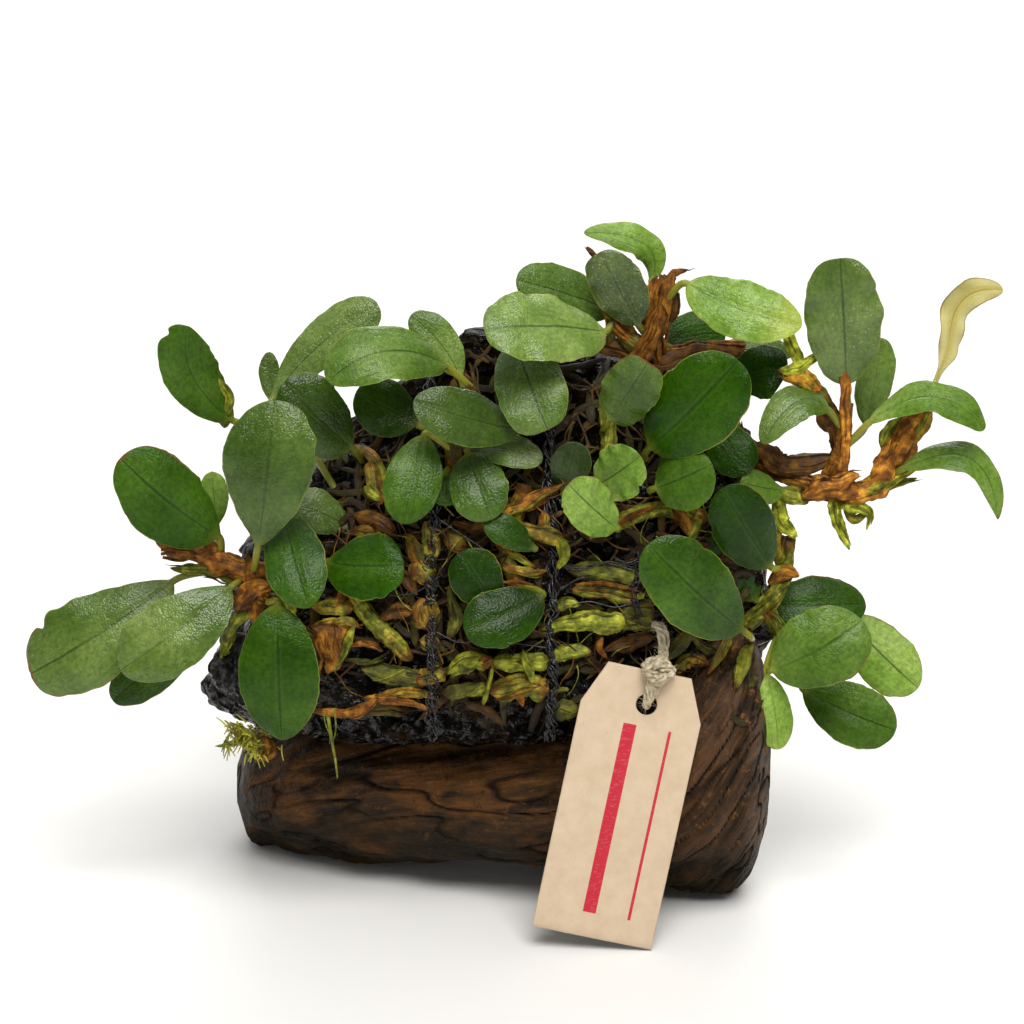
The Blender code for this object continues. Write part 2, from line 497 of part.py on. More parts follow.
def on_tag(aside, up, out):
    """A point given beside the card's middle line, up from its foot and out from its middle plane."""
    corner = TAG_CORNER + (TAG_THICK / 2 + 0.05) * SKY
    return corner + (aside - TAG_WIDTH / 2) * TAG_RIGHT + up * TAG_UP + out * TAG_OUT


def tag_card():
    """The outline raised to the card's thickness, less a round peg for the hole."""
    half, top = TAG_WIDTH / 2, TAG_TOP_WIDTH / 2
    outline = [(-half, 0), (half, 0), (half, TAG_SHOULDER), (top, TAG_LENGTH), (-top, TAG_LENGTH),
               (-half, TAG_SHOULDER)]
    turns = np.arange(HOLE_SIDES) * 2 * pi / HOLE_SIDES
    rim = [(HOLE_ASIDE + HOLE_RADIUS * cos(a), HOLE_UP + HOLE_RADIUS * sin(a)) for a in turns]
    card = loft([[on_tag(x, y, out) for x, y in outline] for out in (-TAG_THICK / 2, TAG_THICK / 2)])
    peg = loft([[on_tag(x, y, out) for x, y in rim] for out in (-TAG_THICK, TAG_THICK)])
    return fused([card], [peg])


add_part("hang_tag", tag_card(), (0.80, 0.64, 0.48), 0.8)

# Twine: one strand that runs through the hole and back over the card's top edge into a knot, and from the
# knot up and back into the plants, where it is tied.
TWINE_RADIUS = 1.0
KNOT_AT, KNOT_SIZE = (1.7, 66.2, 3.0), (3.4, 2.9, 2.1)
TWINE_LOOP = [KNOT_AT, (1.5, 63.0, 2.4), (1.1, 60.0, 2.0), (0.9, 57.3, 0.9), (0.9, 57.1, -0.9),
              (1.1, 60.0, -1.9), (1.5, 63.5, -1.9), (1.7, 66.6, -1.6), (1.8, 68.0, 0.6), KNOT_AT]
TWINE_UP = [on_tag(*KNOT_AT), seen(37.5, 57.5, 29), seen(36.5, 61.5, 28), seen(34.5, 61.5, 20)]


def knot():
    """A ball squashed along the card's three directions."""
    ball = bmesh.new()
    bmesh.ops.create_icosphere(ball, subdivisions=2, radius=1.0)
    middle = on_tag(*KNOT_AT)
    for vertex in ball.verts:
        a, b, c = (size * share for size, share in zip(KNOT_SIZE, vertex.co))
        vertex.co = Vector((middle + a * TAG_RIGHT + b * TAG_UP + c * TAG_OUT) * MM)
    mesh = bpy.data.meshes.new("knot")
    ball.to_mesh(mesh)
    ball.free()
    return mesh


loop = tube([on_tag(*place) for place in TWINE_LOOP], (TWINE_RADIUS, TWINE_RADIUS))
tail = tube(TWINE_UP, (TWINE_RADIUS, TWINE_RADIUS), steps=2)
add_part("tag_twine", fused([knot(), loop, tail], WOOD_CUTTERS), (0.32, 0.27, 0.18), 0.9)
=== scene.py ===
"""Bucephalandra tied with net thread to a piece of driftwood, with a card swing tag on twine. Sizes are in
millimetres here and become metres in each mesh. X runs to the right, Y to the back and Z up."""
from math import cos, pi, radians, sin

import bpy
import numpy as np
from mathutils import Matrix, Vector
from mathutils.bvhtree import BVHTree


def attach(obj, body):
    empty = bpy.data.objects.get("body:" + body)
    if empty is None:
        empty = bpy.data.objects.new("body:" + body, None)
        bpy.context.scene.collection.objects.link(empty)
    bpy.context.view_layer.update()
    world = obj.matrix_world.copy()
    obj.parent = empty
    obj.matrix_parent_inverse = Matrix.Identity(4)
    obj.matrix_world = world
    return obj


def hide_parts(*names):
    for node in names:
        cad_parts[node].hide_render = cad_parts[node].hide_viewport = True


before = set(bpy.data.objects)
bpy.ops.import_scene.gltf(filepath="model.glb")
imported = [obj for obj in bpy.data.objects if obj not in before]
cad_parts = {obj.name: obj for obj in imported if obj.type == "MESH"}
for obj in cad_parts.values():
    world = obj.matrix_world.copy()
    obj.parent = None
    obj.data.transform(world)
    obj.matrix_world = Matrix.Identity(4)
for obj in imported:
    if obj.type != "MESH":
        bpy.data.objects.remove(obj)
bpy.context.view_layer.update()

# The stage: a pale floor under soft studio light, seen from in front and a little above. Places on the piece
# are read in this front view: u mm to the right and v mm up, on a plane through the middle of the wood.
MM = 0.001
VIEW_TILT = radians(18)
EYE_DISTANCE, EYE_RISE = 711.0, 90.0
LENS, SENSOR = 100.0, 36.0
RIGHT, BACK, SKY = np.eye(3)
VIEW_UP = sin(VIEW_TILT) * BACK + cos(VIEW_TILT) * SKY
TO_EYE = sin(VIEW_TILT) * SKY - cos(VIEW_TILT) * BACK
ORIGIN_BACK = 8.5             # the plane lies this far in front of the middle of the whole piece
EYE = EYE_RISE * VIEW_UP + EYE_DISTANCE * TO_EYE
BOX_SHIFT = -ORIGIN_BACK * BACK


def seen(u, v, front):
    """The point on the sight line through (u, v), where that line is front mm in front of the wood's middle:
    eye + share (mark - eye), with the share that gives that depth."""
    mark = u * RIGHT + v * VIEW_UP
    share = (-front - EYE[1]) / (mark[1] - EYE[1])
    return EYE + share * (mark - EYE) + BOX_SHIFT


camera_data = bpy.data.cameras.new("camera")
camera_data.lens, camera_data.sensor_width = LENS, SENSOR
camera = bpy.data.objects.new("camera", camera_data)
camera.location = (EYE + BOX_SHIFT) * MM
camera.rotation_euler = (pi / 2 - VIEW_TILT, 0, 0)
bpy.context.scene.collection.objects.link(camera)
bpy.context.scene.camera = camera
bpy.context.scene.view_settings.view_transform = "Standard"

# Soft boxes: place, size in metres, power and colour. One hangs high over the front of the piece, one behind,
# and a weak one at the front lifts the shadows without a reflection of its own.
SOFT_BOXES = {
    "top_light": ((0.25, -1.0, 1.85), 1.25, 45.0, (1.0, 0.985, 0.96)),
    "back_light": ((0.1, 1.9, 1.7), 1.6, 34.0, (1.0, 0.99, 0.97)),
    "front_light": ((-0.5, -1.7, 0.45), 1.5, 4.5, (1.0, 0.99, 0.97)),
}
for name, (place, size, power, colour) in SOFT_BOXES.items():
    lamp = bpy.data.lights.new(name, "AREA")
    lamp.shape, lamp.size, lamp.energy, lamp.color = "SQUARE", size, power, colour
    light = bpy.data.objects.new(name, lamp)
    light.location = place
    light.visible_glossy = name != "front_light"
    light.rotation_euler = (Vector((0, 0, 0.07)) - Vector(place)).to_track_quat("-Z", "Y").to_euler()
    bpy.context.scene.collection.objects.link(light)

# The studio round it: white overhead and behind, dark on the camera's side, so that leaves that face the
# camera keep their full green and those that look up shine.
world = bpy.data.worlds.new("studio")
world.use_nodes = True
sky_tree = world.node_tree
sky_way = sky_tree.nodes.new("ShaderNodeTexCoord")
sky_lift = sky_tree.nodes.new("ShaderNodeVectorMath")
sky_lift.operation = "DOT_PRODUCT"
sky_lift.inputs[1].default_value = (0.0, 0.6, 1.0)
sky_fade = sky_tree.nodes.new("ShaderNodeMapRange")
sky_fade.interpolation_type = "SMOOTHSTEP"
SKY_DARK, SKY_WHITE = 0.08, 0.62
for socket, value in zip(list(sky_fade.inputs)[1:5], (0.0, 0.75, SKY_DARK, SKY_WHITE)):
    socket.default_value = value
sky_tree.links.new(sky_way.outputs["Generated"], sky_lift.inputs[0])
sky_tree.links.new(sky_lift.outputs["Value"], sky_fade.inputs["Value"])
sky_tree.links.new(sky_fade.outputs[0], sky_tree.nodes["Background"].inputs["Strength"])
sky_tree.nodes["Background"].inputs["Color"].default_value = (1.0, 0.997, 0.99, 1.0)
bpy.context.scene.world = world


class Value:
    """What a node of a material gives: a number, a colour or a vector that can be reckoned with. Each call
    adds a node, whose other inputs are values too or plain numbers."""

    def __init__(self, paint, socket):
        self.paint, self.socket = paint, socket

    def __mul__(self, other):
        return self.math("MULTIPLY", other)

    def __add__(self, other):
        return self.math("ADD", other)

    def __sub__(self, other):
        return self.math("SUBTRACT", other)

    def __abs__(self):
        return self.math("ABSOLUTE")

    def math(self, how, other=0.0):
        return self.paint.node("Math", {0: self, 1: other}, operation=how)

    def coat(self, share, colour):
        """This colour with that share of another over it."""
        return self.paint.node("Mix", {0: share, 6: self, 7: colour}, 2, data_type="RGBA")

    def scaled(self, share):
        return self.paint.node("VectorMath", {0: self, "Scale": share}, 0, operation="SCALE")

    def noise(self, scale, detail=3.0, rough=0.55):
        inputs = {"Vector": self, "Scale": scale, "Detail": detail, "Roughness": rough}
        return self.paint.node("TexNoise", inputs)

    def cells(self, scale):
        return self.paint.node("TexVoronoi", {"Vector": self, "Scale": scale}, 0, feature="F1")

    def stretch(self, sizes):
        return self.paint.node("Mapping", {"Vector": self, "Scale": sizes})

    def step(self, low, high, start=0.0, end=1.0):
        """Rises smoothly from start to end while this goes from low to high."""
        names = ("Value", "From Min", "From Max", "To Min", "To Max")
        return self.paint.node("MapRange", dict(zip(names, (self, low, high, start, end))),
                               interpolation_type="SMOOTHSTEP")

    def ramp(self, *stops):
        """Colours at places along a bar, blended between them."""
        made = self.paint.node("ValToRGB", {0: self})
        bar = made.socket.node.color_ramp.elements
        for index, (place, colour) in enumerate(stops):
            spot = bar[index] if index < 2 else bar.new(place)
            spot.position, spot.color = place, (*colour, 1.0)
        return made

    def bump(self, distance):
        return self.paint.node("Bump", {"Height": self, "Distance": distance * MM, "Strength": 1.0})

    def parts(self):
        """The three numbers of a vector."""
        split = self.paint.node("SeparateXYZ", {0: self}).socket.node
        return [Value(self.paint, socket) for socket in split.outputs]


class Paint:
    """A procedural material in the making. An input is a value, which is wired to it, a number, or a colour
    of three numbers."""

    def __init__(self, name, **sockets):
        self.material = bpy.data.materials.new(name)
        self.material.use_nodes = True
        self.tree = self.material.node_tree
        self.shader = self.tree.nodes["Principled BSDF"]
        self.finish(**sockets)

    def put(self, socket, value):
        if isinstance(value, Value):
            self.tree.links.new(value.socket, socket)
        elif np.ndim(value) and len(socket.default_value) == 4:
            socket.default_value = (*value, 1.0)
        else:
            socket.default_value = value

    def finish(self, **sockets):
        for name, value in sockets.items():
            self.put(self.shader.inputs[name.replace("_", " ").title().replace("Ior", "IOR")], value)

    def node(self, kind, inputs, out=0, **settings):
        made = self.tree.nodes.new("ShaderNode" + kind)
        for name, value in settings.items():
            setattr(made, name, value)
        for name, value in inputs.items():
            self.put(made.inputs[name], value)
        return Value(self, made.outputs[out])

    def vector(self, *parts):
        return self.node("CombineXYZ", dict(zip("XYZ", parts)))

    def here(self):
        """Places in the piece, in metres."""
        return self.node("TexCoord", {}, 3)

    def mark(self, name):
        """The vector that the mesh carries under this name."""
        return self.node("Attribute", {}, 1, attribute_name=name)


floor_paint = Paint("floor_paper", base_color=(0.78, 0.772, 0.757), roughness=0.9)
floor_grain = floor_paint.here().noise(900.0)
floor_paint.finish(normal=floor_grain.bump(0.02))
FLOOR_HALF = 6.0              # in metres
floor_corners = [(-FLOOR_HALF, -FLOOR_HALF, 0), (FLOOR_HALF, -FLOOR_HALF, 0),
                 (FLOOR_HALF, FLOOR_HALF, 0), (-FLOOR_HALF, FLOOR_HALF, 0)]
floor_mesh = bpy.data.meshes.new("floor")
floor_mesh.from_pydata(floor_corners, [], [(0, 1, 2, 3)])
floor_mesh.materials.append(floor_paint.material)
floor = bpy.data.objects.new("floor", floor_mesh)
bpy.context.scene.collection.objects.link(floor)

# Driftwood log: the lower half of one weathered piece of bog wood, smoothed by water, its grain running
# along it in dark cracks and rusty streaks. It lies on a flat foot and rises into a stump at the right.
# Its rows from left to right: x, the oval's middle (y, z) and its half depth and half height.
LOG_ROWS = np.array([
    (-70.0, 21.0, 14.5, 4.0, 4.5),
    (-67.5, 20.5, 14.9, 11.0, 11.4),
    (-59.0, 18.0, 16.6, 19.0, 16.2),
    (-46.0, 15.0, 18.5, 23.5, 19.9),
    (-32.0, 12.0, 20.0, 25.0, 21.4),
    (-12.0, 7.5, 22.0, 26.0, 20.3),
    (12.0, 2.0, 23.0, 27.0, 20.8),
    (30.0, -2.0, 27.0, 27.0, 26.8),
    (42.0, -4.5, 33.0, 26.5, 35.2),
    (52.0, -7.0, 34.0, 23.0, 35.8),
    (58.5, -9.0, 35.0, 17.0, 30.0),
    (62.0, -10.5, 36.0, 8.0, 18.0),
])
LOG_STATIONS, LOG_AROUND = 330, 290
FOOT_TUCK, TUCK_HEIGHT = 2.4, 17.0       # how far the front of its foot curls up, and how high that reaches
LOG_CRACK = 1.4                          # how deep its cracks are


def smooth(at, places, values):
    """Values of a smooth curve: cubic pieces (Hermite) whose slopes come from the neighbouring places."""
    at, places, values = (np.asarray(a, dtype=float) for a in (at, places, values))
    slopes = np.gradient(values, places, axis=0)
    i = np.clip(np.searchsorted(places, at) - 1, 0, len(places) - 2)
    span = places[i + 1] - places[i]
    t = (at - places[i]) / span
    if values.ndim == 2:
        span, t = span[:, None], t[:, None]
    start = (1 + 2 * t) * (1 - t) ** 2 * values[i] + t * (1 - t) ** 2 * span * slopes[i]
    return start + t * t * (3 - 2 * t) * values[i + 1] + t * t * (t - 1) * span * slopes[i + 1]


def even(path, steps):
    """Points along the smooth curve through a path's points."""
    path = np.asarray(path, dtype=float)
    return smooth(np.linspace(0, len(path) - 1, steps), np.arange(len(path)), path)


def unit(vectors):
    """Each vector divided by its own length."""
    return vectors / np.linalg.norm(vectors, axis=-1, keepdims=True)


def together(*parts):
    """The parts side by side in a last axis, each spread to their common shape."""
    return np.stack(np.broadcast_arrays(*parts), axis=-1)


def way_along(path):
    """How far along a path each of its points lies."""
    return np.concatenate([[0], np.cumsum(np.linalg.norm(np.diff(path, axis=0), axis=1))])


# Large primes that mix the whole numbers of a cube.
SCATTER = (374761393, 668265263, 1440662683, 1274126177)


def lumps(points, size, seed=0):
    """Smooth random heights from -1 to 1: a random number at each corner of cubes of that size, blended
    between the corners by 3t^2 - 2t^3. The size may differ along x, y and z."""
    places = np.asarray(points) / size + 71.3 * seed
    cell = np.floor(places).astype(np.int64)
    t = places - cell
    t = t * t * (3 - 2 * t)
    total = np.zeros(places.shape[:-1])
    for corner in np.ndindex(2, 2, 2):
        c = cell + corner
        mixed = (c[..., 0] * SCATTER[0] + c[..., 1] * SCATTER[1] + c[..., 2] * SCATTER[2]) & 0xFFFFFFFF
        mixed = ((mixed ^ (mixed >> 13)) * SCATTER[3]) & 0xFFFFFFFF
        value = ((mixed ^ (mixed >> 16)) & 0xFFFF) / 32767.5 - 1
        total += value * np.prod(np.where(corner, t, 1 - t), axis=-1)
    return total


def rough(points, size, seed=0, layers=3):
    """Lumps added to lumps of half the size and half the height, and so on."""
    return sum(lumps(points, np.asarray(size) / 2 ** k, seed + k) / 2 ** k for k in range(layers))


def inside_out(points, quads):
    """Whether the faces point inwards, so that the volume that they enclose comes out below nought."""
    a, b, c, d = (points[quads[:, k]] for k in range(4))
    return np.sum(np.einsum("ij,ij->i", a, np.cross(b, c)) + np.einsum("ij,ij->i", a, np.cross(c, d))) < 0


def skin(grid, place, tint=(0.0, 0.0, 0.0)):
    """Closed skins over grids of points, shaped (skins, rows, around, 3): each row is a ring, and a fan of
    triangles closes each end. Every point carries three numbers of place and three of tint."""
    count, rows, around = grid.shape[:3]
    place = np.broadcast_to(place, grid.shape)
    tint = np.broadcast_to(tint, grid.shape)

    def with_poles(values):
        ends = np.stack([values[:, 0].mean(axis=1), values[:, -1].mean(axis=1)], axis=1)
        return np.concatenate([values.reshape(count, -1, 3), ends], axis=1).reshape(-1, 3)

    corner = np.arange(rows * around).reshape(rows, around)
    right = np.roll(corner, -1, axis=1)
    quads = np.stack([corner[:-1], right[:-1], right[1:], corner[1:]], axis=-1).reshape(-1, 4)
    first, last = rows * around, rows * around + 1
    fans = np.concatenate([
        np.stack([np.full(around, first), right[0], corner[0]], axis=-1),
        np.stack([np.full(around, last), corner[-1], right[-1]], axis=-1)])
    starts = np.arange(count)[:, None, None] * (rows * around + 2)
    quads = (quads[None] + starts).reshape(-1, 4)
    fans = (fans[None] + starts).reshape(-1, 3)
    points = with_poles(grid)
    if inside_out(points, quads):
        quads, fans = quads[:, ::-1], fans[:, ::-1]
    return points, quads, fans, with_poles(place), with_poles(tint)


def piece(name, skins, material, slot, *nodes):
    """One mesh of all the skins, in metres, that rides on the whole and stands for the CAD nodes named."""
    starts = np.cumsum([0] + [len(s[0]) for s in skins[:-1]])
    points = np.concatenate([s[0] for s in skins]) * MM
    quads = np.concatenate([s[1] + start for s, start in zip(skins, starts)])
    fans = np.concatenate([s[2] + start for s, start in zip(skins, starts)])
    mesh = bpy.data.meshes.new(name)
    mesh.vertices.add(len(points))
    mesh.vertices.foreach_set("co", points.astype(np.float32).ravel())
    mesh.loops.add(quads.size + fans.size)
    mesh.loops.foreach_set("vertex_index", np.concatenate([quads.ravel(), fans.ravel()]).astype(np.int32))
    mesh.polygons.add(len(quads) + len(fans))
    loop_starts = np.concatenate([np.arange(len(quads)) * 4, quads.size + np.arange(len(fans)) * 3])
    mesh.polygons.foreach_set("loop_start", loop_starts.astype(np.int32))
    mesh.update(calc_edges=True)
    for label, index in (("place", 3), ("tint", 4)):
        marks = mesh.attributes.new(label, "FLOAT_VECTOR", "POINT")
        values = np.concatenate([s[index] for s in skins])
        marks.data.foreach_set("vector", values.astype(np.float32).ravel())
    mesh.shade_smooth()
    mesh.materials.append(material)
    made = bpy.data.objects.new(name, mesh)
    bpy.context.scene.collection.objects.link(made)
    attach(made, "root")
    if nodes:
        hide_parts(*nodes)
    return made


def log_skin():
    """Ovals across the log, ridged by sines of the angle, cut flat at the ground; then long ridges and
    cracks along the grain move the skin in and out. The grain climbs from the left end and turns up into
    the stump."""
    x = even(LOG_ROWS[:, 0], LOG_STATIONS)
    middle_y, middle_z, depth, height = smooth(x, LOG_ROWS[:, 0], LOG_ROWS[:, 1:]).T[..., None]
    x = x[:, None]
    turn = (np.arange(LOG_AROUND) + 0.5) * 2 * pi / LOG_AROUND
    ridge = 1 + 0.022 * np.sin(4 * turn + 0.6 * x / 10) + 0.018 * np.sin(7 * turn - x / 14)
    y = middle_y + depth * ridge * np.cos(turn)
    z = middle_z + height * ridge * np.sin(turn)
    stump = np.clip((x - 22) / 34, 0, 1) ** 1.6
    across = z - 0.8 * stump * (x - 22) - 0.12 * x + 0.0041 * np.clip(-20 - x, 0, None) ** 2
    grain = together(x + 0.5 * stump * (z - 40), across, y)
    ridges = rough(grain, (55, 7, 9), 1) * 0.9 + rough(grain, (24, 2.6, 4), 5, 2) * 0.4
    crack = np.abs(rough(grain, (38, 6.5, 7), 9, 2))
    crack = np.exp(-(crack / 0.06) ** 2) * np.clip(lumps(grain, (22, 9, 9), 21) + 0.7, 0, 1)
    grid = together(x, y, z)
    worn = 0.55 * rough(grid, (6, 6, 6), 71, 3)
    move = (ridges + worn - LOG_CRACK * crack)[..., None]
    grid = grid + move * together(0, np.cos(turn), np.sin(turn))
    front = np.clip((middle_y - y) / depth / 0.45 + 0.2, 0, 1)
    tuck = FOOT_TUCK * np.clip((x + 68) / 22, 0, 1)
    foot = np.maximum(grid[..., 2], 0.0)
    grid[..., 2] = foot + tuck * front * front * (3 - 2 * front) * np.clip(1 - foot / TUCK_HEIGHT, 0, 1)
    tint = together(crack, np.clip(0.5 + 0.4 * ridges, 0, 1), stump)
    return skin((grid + BOX_SHIFT)[None], (grain * MM)[None], tint[None])


wood = Paint("log_wood")
grain_place = wood.mark("place")
crack, ridge, stump = wood.mark("tint").parts()
streaks = grain_place.stretch((22, 330, 260)).noise(1.0, 5.0, 0.62)
fibres = grain_place.stretch((60, 1500, 1100)).noise(1.0, 4.0, 0.6)
blotches = grain_place.stretch((34, 105, 90)).noise(1.0, 3.0)
brown = streaks.ramp((0.38, (0.008, 0.005, 0.002)), (0.48, (0.038, 0.02, 0.007)),
                     (0.57, (0.073, 0.033, 0.009)), (0.69, (0.165, 0.075, 0.017)))
rusty = brown.coat(blotches.step(0.5, 0.62, 0.0, 0.75), (0.13, 0.051, 0.01))
rusty = rusty.coat(blotches.step(0.47, 0.36, 0.0, 0.75), (0.016, 0.012, 0.006))
browner = rusty.coat(fibres.step(0.4, 0.7) * 0.5, (0.03, 0.013, 0.007))
specks = wood.here().noise(520.0, 3.0, 0.7)
flecks = specks.step(0.56, 0.72) * stump.step(0.0, 1.0, 0.4, 0.8)
browner = browner.coat(flecks, (0.25, 0.1, 0.022))
browner = browner.coat(specks.step(0.4, 0.3, 0.0, 0.7), (0.008, 0.005, 0.003))
grey = browner.coat(blotches.step(0.42, 0.6) * (stump * 0.5), (0.085, 0.06, 0.045))
dark = grey.coat(crack, (0.006, 0.004, 0.003))
log_rise = wood.here().parts()[2]
# Painted shade: blotches on the lowest part of the log, next to the floor, darkened almost to black.
painted_low_shade = log_rise.step(0.027, 0.011) * blotches.step(0.78, 0.52)
dark = dark.coat(painted_low_shade * 0.82, (0.01, 0.009, 0.005))
height = streaks * 0.8 + fibres * 0.35 + specks * 0.6
wood.finish(base_color=dark, roughness=streaks.step(0.3, 0.75, 0.42, 0.66),
            specular_ior_level=log_rise.step(0.003, 0.022, 0.02, 0.14), normal=height.bump(1.3))
piece("driftwood_log_skin", [log_skin()], wood.material, "wood_brown", "driftwood_log")

# Driftwood, upper half: the same wood where it is rotten and black, a lumpy mass that the roots grip. Its
# left end overhangs the log, dry and grey, with streaks running down it.
# Its levels from the foot up: z, how far it reaches left and right, its middle y and its half depth.
UPPER_ROWS = np.array([
    (38.0, -62.0, 55.0, 8.0, 18.0),
    (44.0, -69.0, 58.0, 5.0, 27.0),
    (52.0, -73.0, 60.5, 4.0, 30.0),
    (62.0, -73.0, 61.0, 4.0, 31.0),
    (74.0, -69.0, 61.5, 4.5, 30.0),
    (88.0, -60.0, 63.0, 5.0, 27.0),
    (102.0, -48.0, 60.0, 6.0, 23.0),
    (115.0, -37.0, 55.0, 7.5, 19.0),
    (125.0, -27.0, 46.0, 8.5, 14.0),
    (131.0, -19.0, 22.0, 9.0, 10.0),
    (137.0, -13.0, 2.0, 9.0, 5.0),
])
UPPER_LEVELS, UPPER_AROUND = 170, 300


def upper_skin():
    """Level sections, squarish ovals whose edge swells and dips in lumps; then knobs, folds (the absolute
    value of lumps) and streaks move the skin, mostly inwards."""
    z = np.linspace(UPPER_ROWS[0, 0], UPPER_ROWS[-1, 0], UPPER_LEVELS)
    left, right, middle_y, depth = smooth(z, UPPER_ROWS[:, 0], UPPER_ROWS[:, 1:]).T[..., None]
    z = z[:, None]
    turn = np.arange(UPPER_AROUND) * 2 * pi / UPPER_AROUND
    lump = (1 + 0.035 * np.sin(3 * turn + z * 0.11) + 0.03 * np.sin(5 * turn - z * 0.17)
            + 0.02 * np.sin(8 * turn + z * 0.31))
    across = np.sign(np.cos(turn)) * np.abs(np.cos(turn)) ** 0.8
    back = np.sign(np.sin(turn)) * np.abs(np.sin(turn)) ** 0.8
    x = (left + right) / 2 + (right - left) / 2 * lump * across
    y = middle_y + depth * lump * back
    grid = together(x, y, z)
    end = np.clip((-48 - x) / 14, 0, 1)
    folds = 1 - 2.2 * np.abs(rough(grid, (13, 13, 9), 31))
    streaks = rough(grid, (2.6, 2.6, 16), 41, 2)
    fine = rough(grid, (3.4, 3.4, 3.4), 51, 3)
    low = np.clip((54 - z) / 8, 0, 1)
    creases = 1 - 2.6 * np.abs(rough(grid, (5.5, 5.5, 3.6), 61, 2))
    move = 1.6 * folds * (1 - 0.5 * end) + (0.5 + 0.6 * end) * streaks + (0.75 + 0.3 * low) * fine - 1.3
    move = move + 0.9 * low * (creases - 0.4)
    out = unit(together(across / (right - left), back / (2 * depth), 0))
    grid = grid + move[..., None] * out
    # The tint's second number, how far a point lies in a fold, carries the painted shade of the hollows.
    tint = together(end, np.clip(0.5 + 0.5 * folds, 0, 1), np.clip(0.5 + fine, 0, 1))
    return skin((grid + BOX_SHIFT)[None], (grid * MM)[None], tint[None])


bark = Paint("upper_wood")
spot = bark.here()
end, fold = bark.mark("tint").parts()[:2]
patches = spot.noise(95.0, 4.0)
crumbs = spot.noise(400.0, 2.5, 0.6)
crumple = spot.cells(420.0)
down = spot.stretch((520, 520, 90)).noise(1.0, 4.0, 0.6)
black = patches.ramp((0.36, (0.003, 0.0028, 0.0022)), (0.52, (0.009, 0.007, 0.004)),
                     (0.62, (0.028, 0.016, 0.006)), (0.74, (0.07, 0.038, 0.011)))
stone_grey = down.ramp((0.36, (0.006, 0.006, 0.006)), (0.52, (0.024, 0.023, 0.022)),
                       (0.68, (0.095, 0.09, 0.082)))
weathered = black.coat(end * patches.step(0.3, 0.55), stone_grey)
# Painted shade: the hollows between the folds are darkened almost to black.
deep = weathered.coat(fold.step(0.45, 0.1), (0.003, 0.003, 0.003))
rise = spot.parts()[2]
wet = rise.step(0.058, 0.049) * end.step(0.8, 0.2)
deep = deep.coat(wet * patches.step(0.62, 0.5, 0.35, 0.9), (0.0022, 0.0022, 0.0018))
# Painted shade: the top of the mass, among the crown's leaves, is darkened, and it shines less there.
top = rise.step(0.104, 0.118)
deep = deep.coat(top * 0.75, (0.0045, 0.0028, 0.0014))
bark_gloss = crumbs.step(0.44, 0.66, 0.02, 0.5) * top.step(0.0, 1.0, 1.0, 0.3)
bark_height = crumbs + down * 0.6 + crumple * 0.9
bark.finish(base_color=deep, roughness=patches.step(0.35, 0.65, 0.07, 0.28), specular_ior_level=bark_gloss,
            normal=bark_height.bump(1.9))
piece("driftwood_upper_skin", [upper_skin()], bark.material, "wood_dark", "driftwood_upper")

# Rhizomes: the creeping stems, thick as a pencil lead to a pencil, fleshy, yellow-green where young and
# rusty where old, with a scar round them at every old leaf. Their stubs end in a fresh tip or a dry cut.
# Each: its colours as (young, rusty, dull); then its stems: places (u, v, front), radius at start and end.
RUST, OLIVE, BROWN = (0.15, 0.85, 0.0), (0.75, 0.25, 0.0), (0.2, 0.5, 0.6)
RHIZOMES = {
    "rhizome_left": (RUST, {
        "left": ([(-49, 68, 12), (-60, 72, 14), (-68, 75, 13), (-78, 79.5, 10), (-87, 80.5, 8)], 3.0, 2.4),
        "left_low": ([(-64, 73.5, 13), (-62.5, 69, 19), (-61, 67.5, 23)], 2.0, 1.6)}),
    "rhizome_upper_left": (BROWN, {
        "upper_left": ([(-40, 104, -4), (-50, 108, -2), (-58, 112, -2), (-66, 112, -3)], 2.2, 1.7)}),
    "rhizome_top_left": (BROWN, {
        "top_left": ([(-14.5, 97, 9), (-14.5, 105, 14), (-13.5, 112, 12), (-10, 121, 7)], 2.4, 1.8)}),
    "crown_top": (RUST, {
        "crown": ([(36, 122, -1), (36, 131, 2), (37, 140, 3), (39, 149, 2)], 3.2, 2.0),
        "crown_left": ([(36, 129, 2), (29, 134, 4), (25, 137, 4)], 2.2, 1.6),
        "top_runner": ([(36, 128, 1), (46, 131, -1), (58, 131, -3)], 2.2, 1.6)}),
    "rhizome_right": (RUST, {
        "branch": ([(56, 107, -1), (67, 100, 3), (76, 96, 6), (84, 94.5, 7), (92, 97, 6), (97, 108, 4),
                    (103, 118, 3)], 3.0, 2.0),
        "branch_mid": ([(78, 95.5, 6), (82, 106, 7), (84, 117, 8)], 2.2, 1.5)}),
    "rhizome_right_low": (OLIVE, {
        "right_low": ([(56, 61, 10), (64, 67, 13), (68, 75, 9), (69, 84, 6)], 2.6, 1.8),
        "right_out": ([(63, 66, 13), (69, 57, 12), (73, 51, 9)], 2.2, 1.6)}),
}
# Stems that lie on the front of the wood: places (u, v), their lift off the wood and their thickness.
LYING_STEMS = {
    "stem_front": (OLIVE, {"stem_front": ([(-40, 70), (-36, 64), (-30, 58), (-25, 53)], 1.6, 2.1)}),
    "rhizome_middle": (OLIVE, {"middle": ([(3, 97), (1, 89), (-1.5, 80), (2, 71)], 1.5, 2.0)}),
    "rhizome_middle_right": (OLIVE, {"middle_right": ([(19, 85), (28, 88), (38, 91), (49, 88)], 1.4, 2.0)}),
}
# Stems behind the wood, as (x, y, z) from the foot of the wood.
BACK_STEMS = {
    "rhizome_back_left": [(-42, 27, 60), (-43, 37, 66), (-41, 42, 75)],
    "rhizome_back_middle": [(2, 24, 84), (3, 34, 92), (7, 38, 100)],
    "rhizome_back_right": [(40, 28, 58), (42, 37, 65), (40, 42, 74)],
}
BACK_SIZES = (2.4, 1.8)

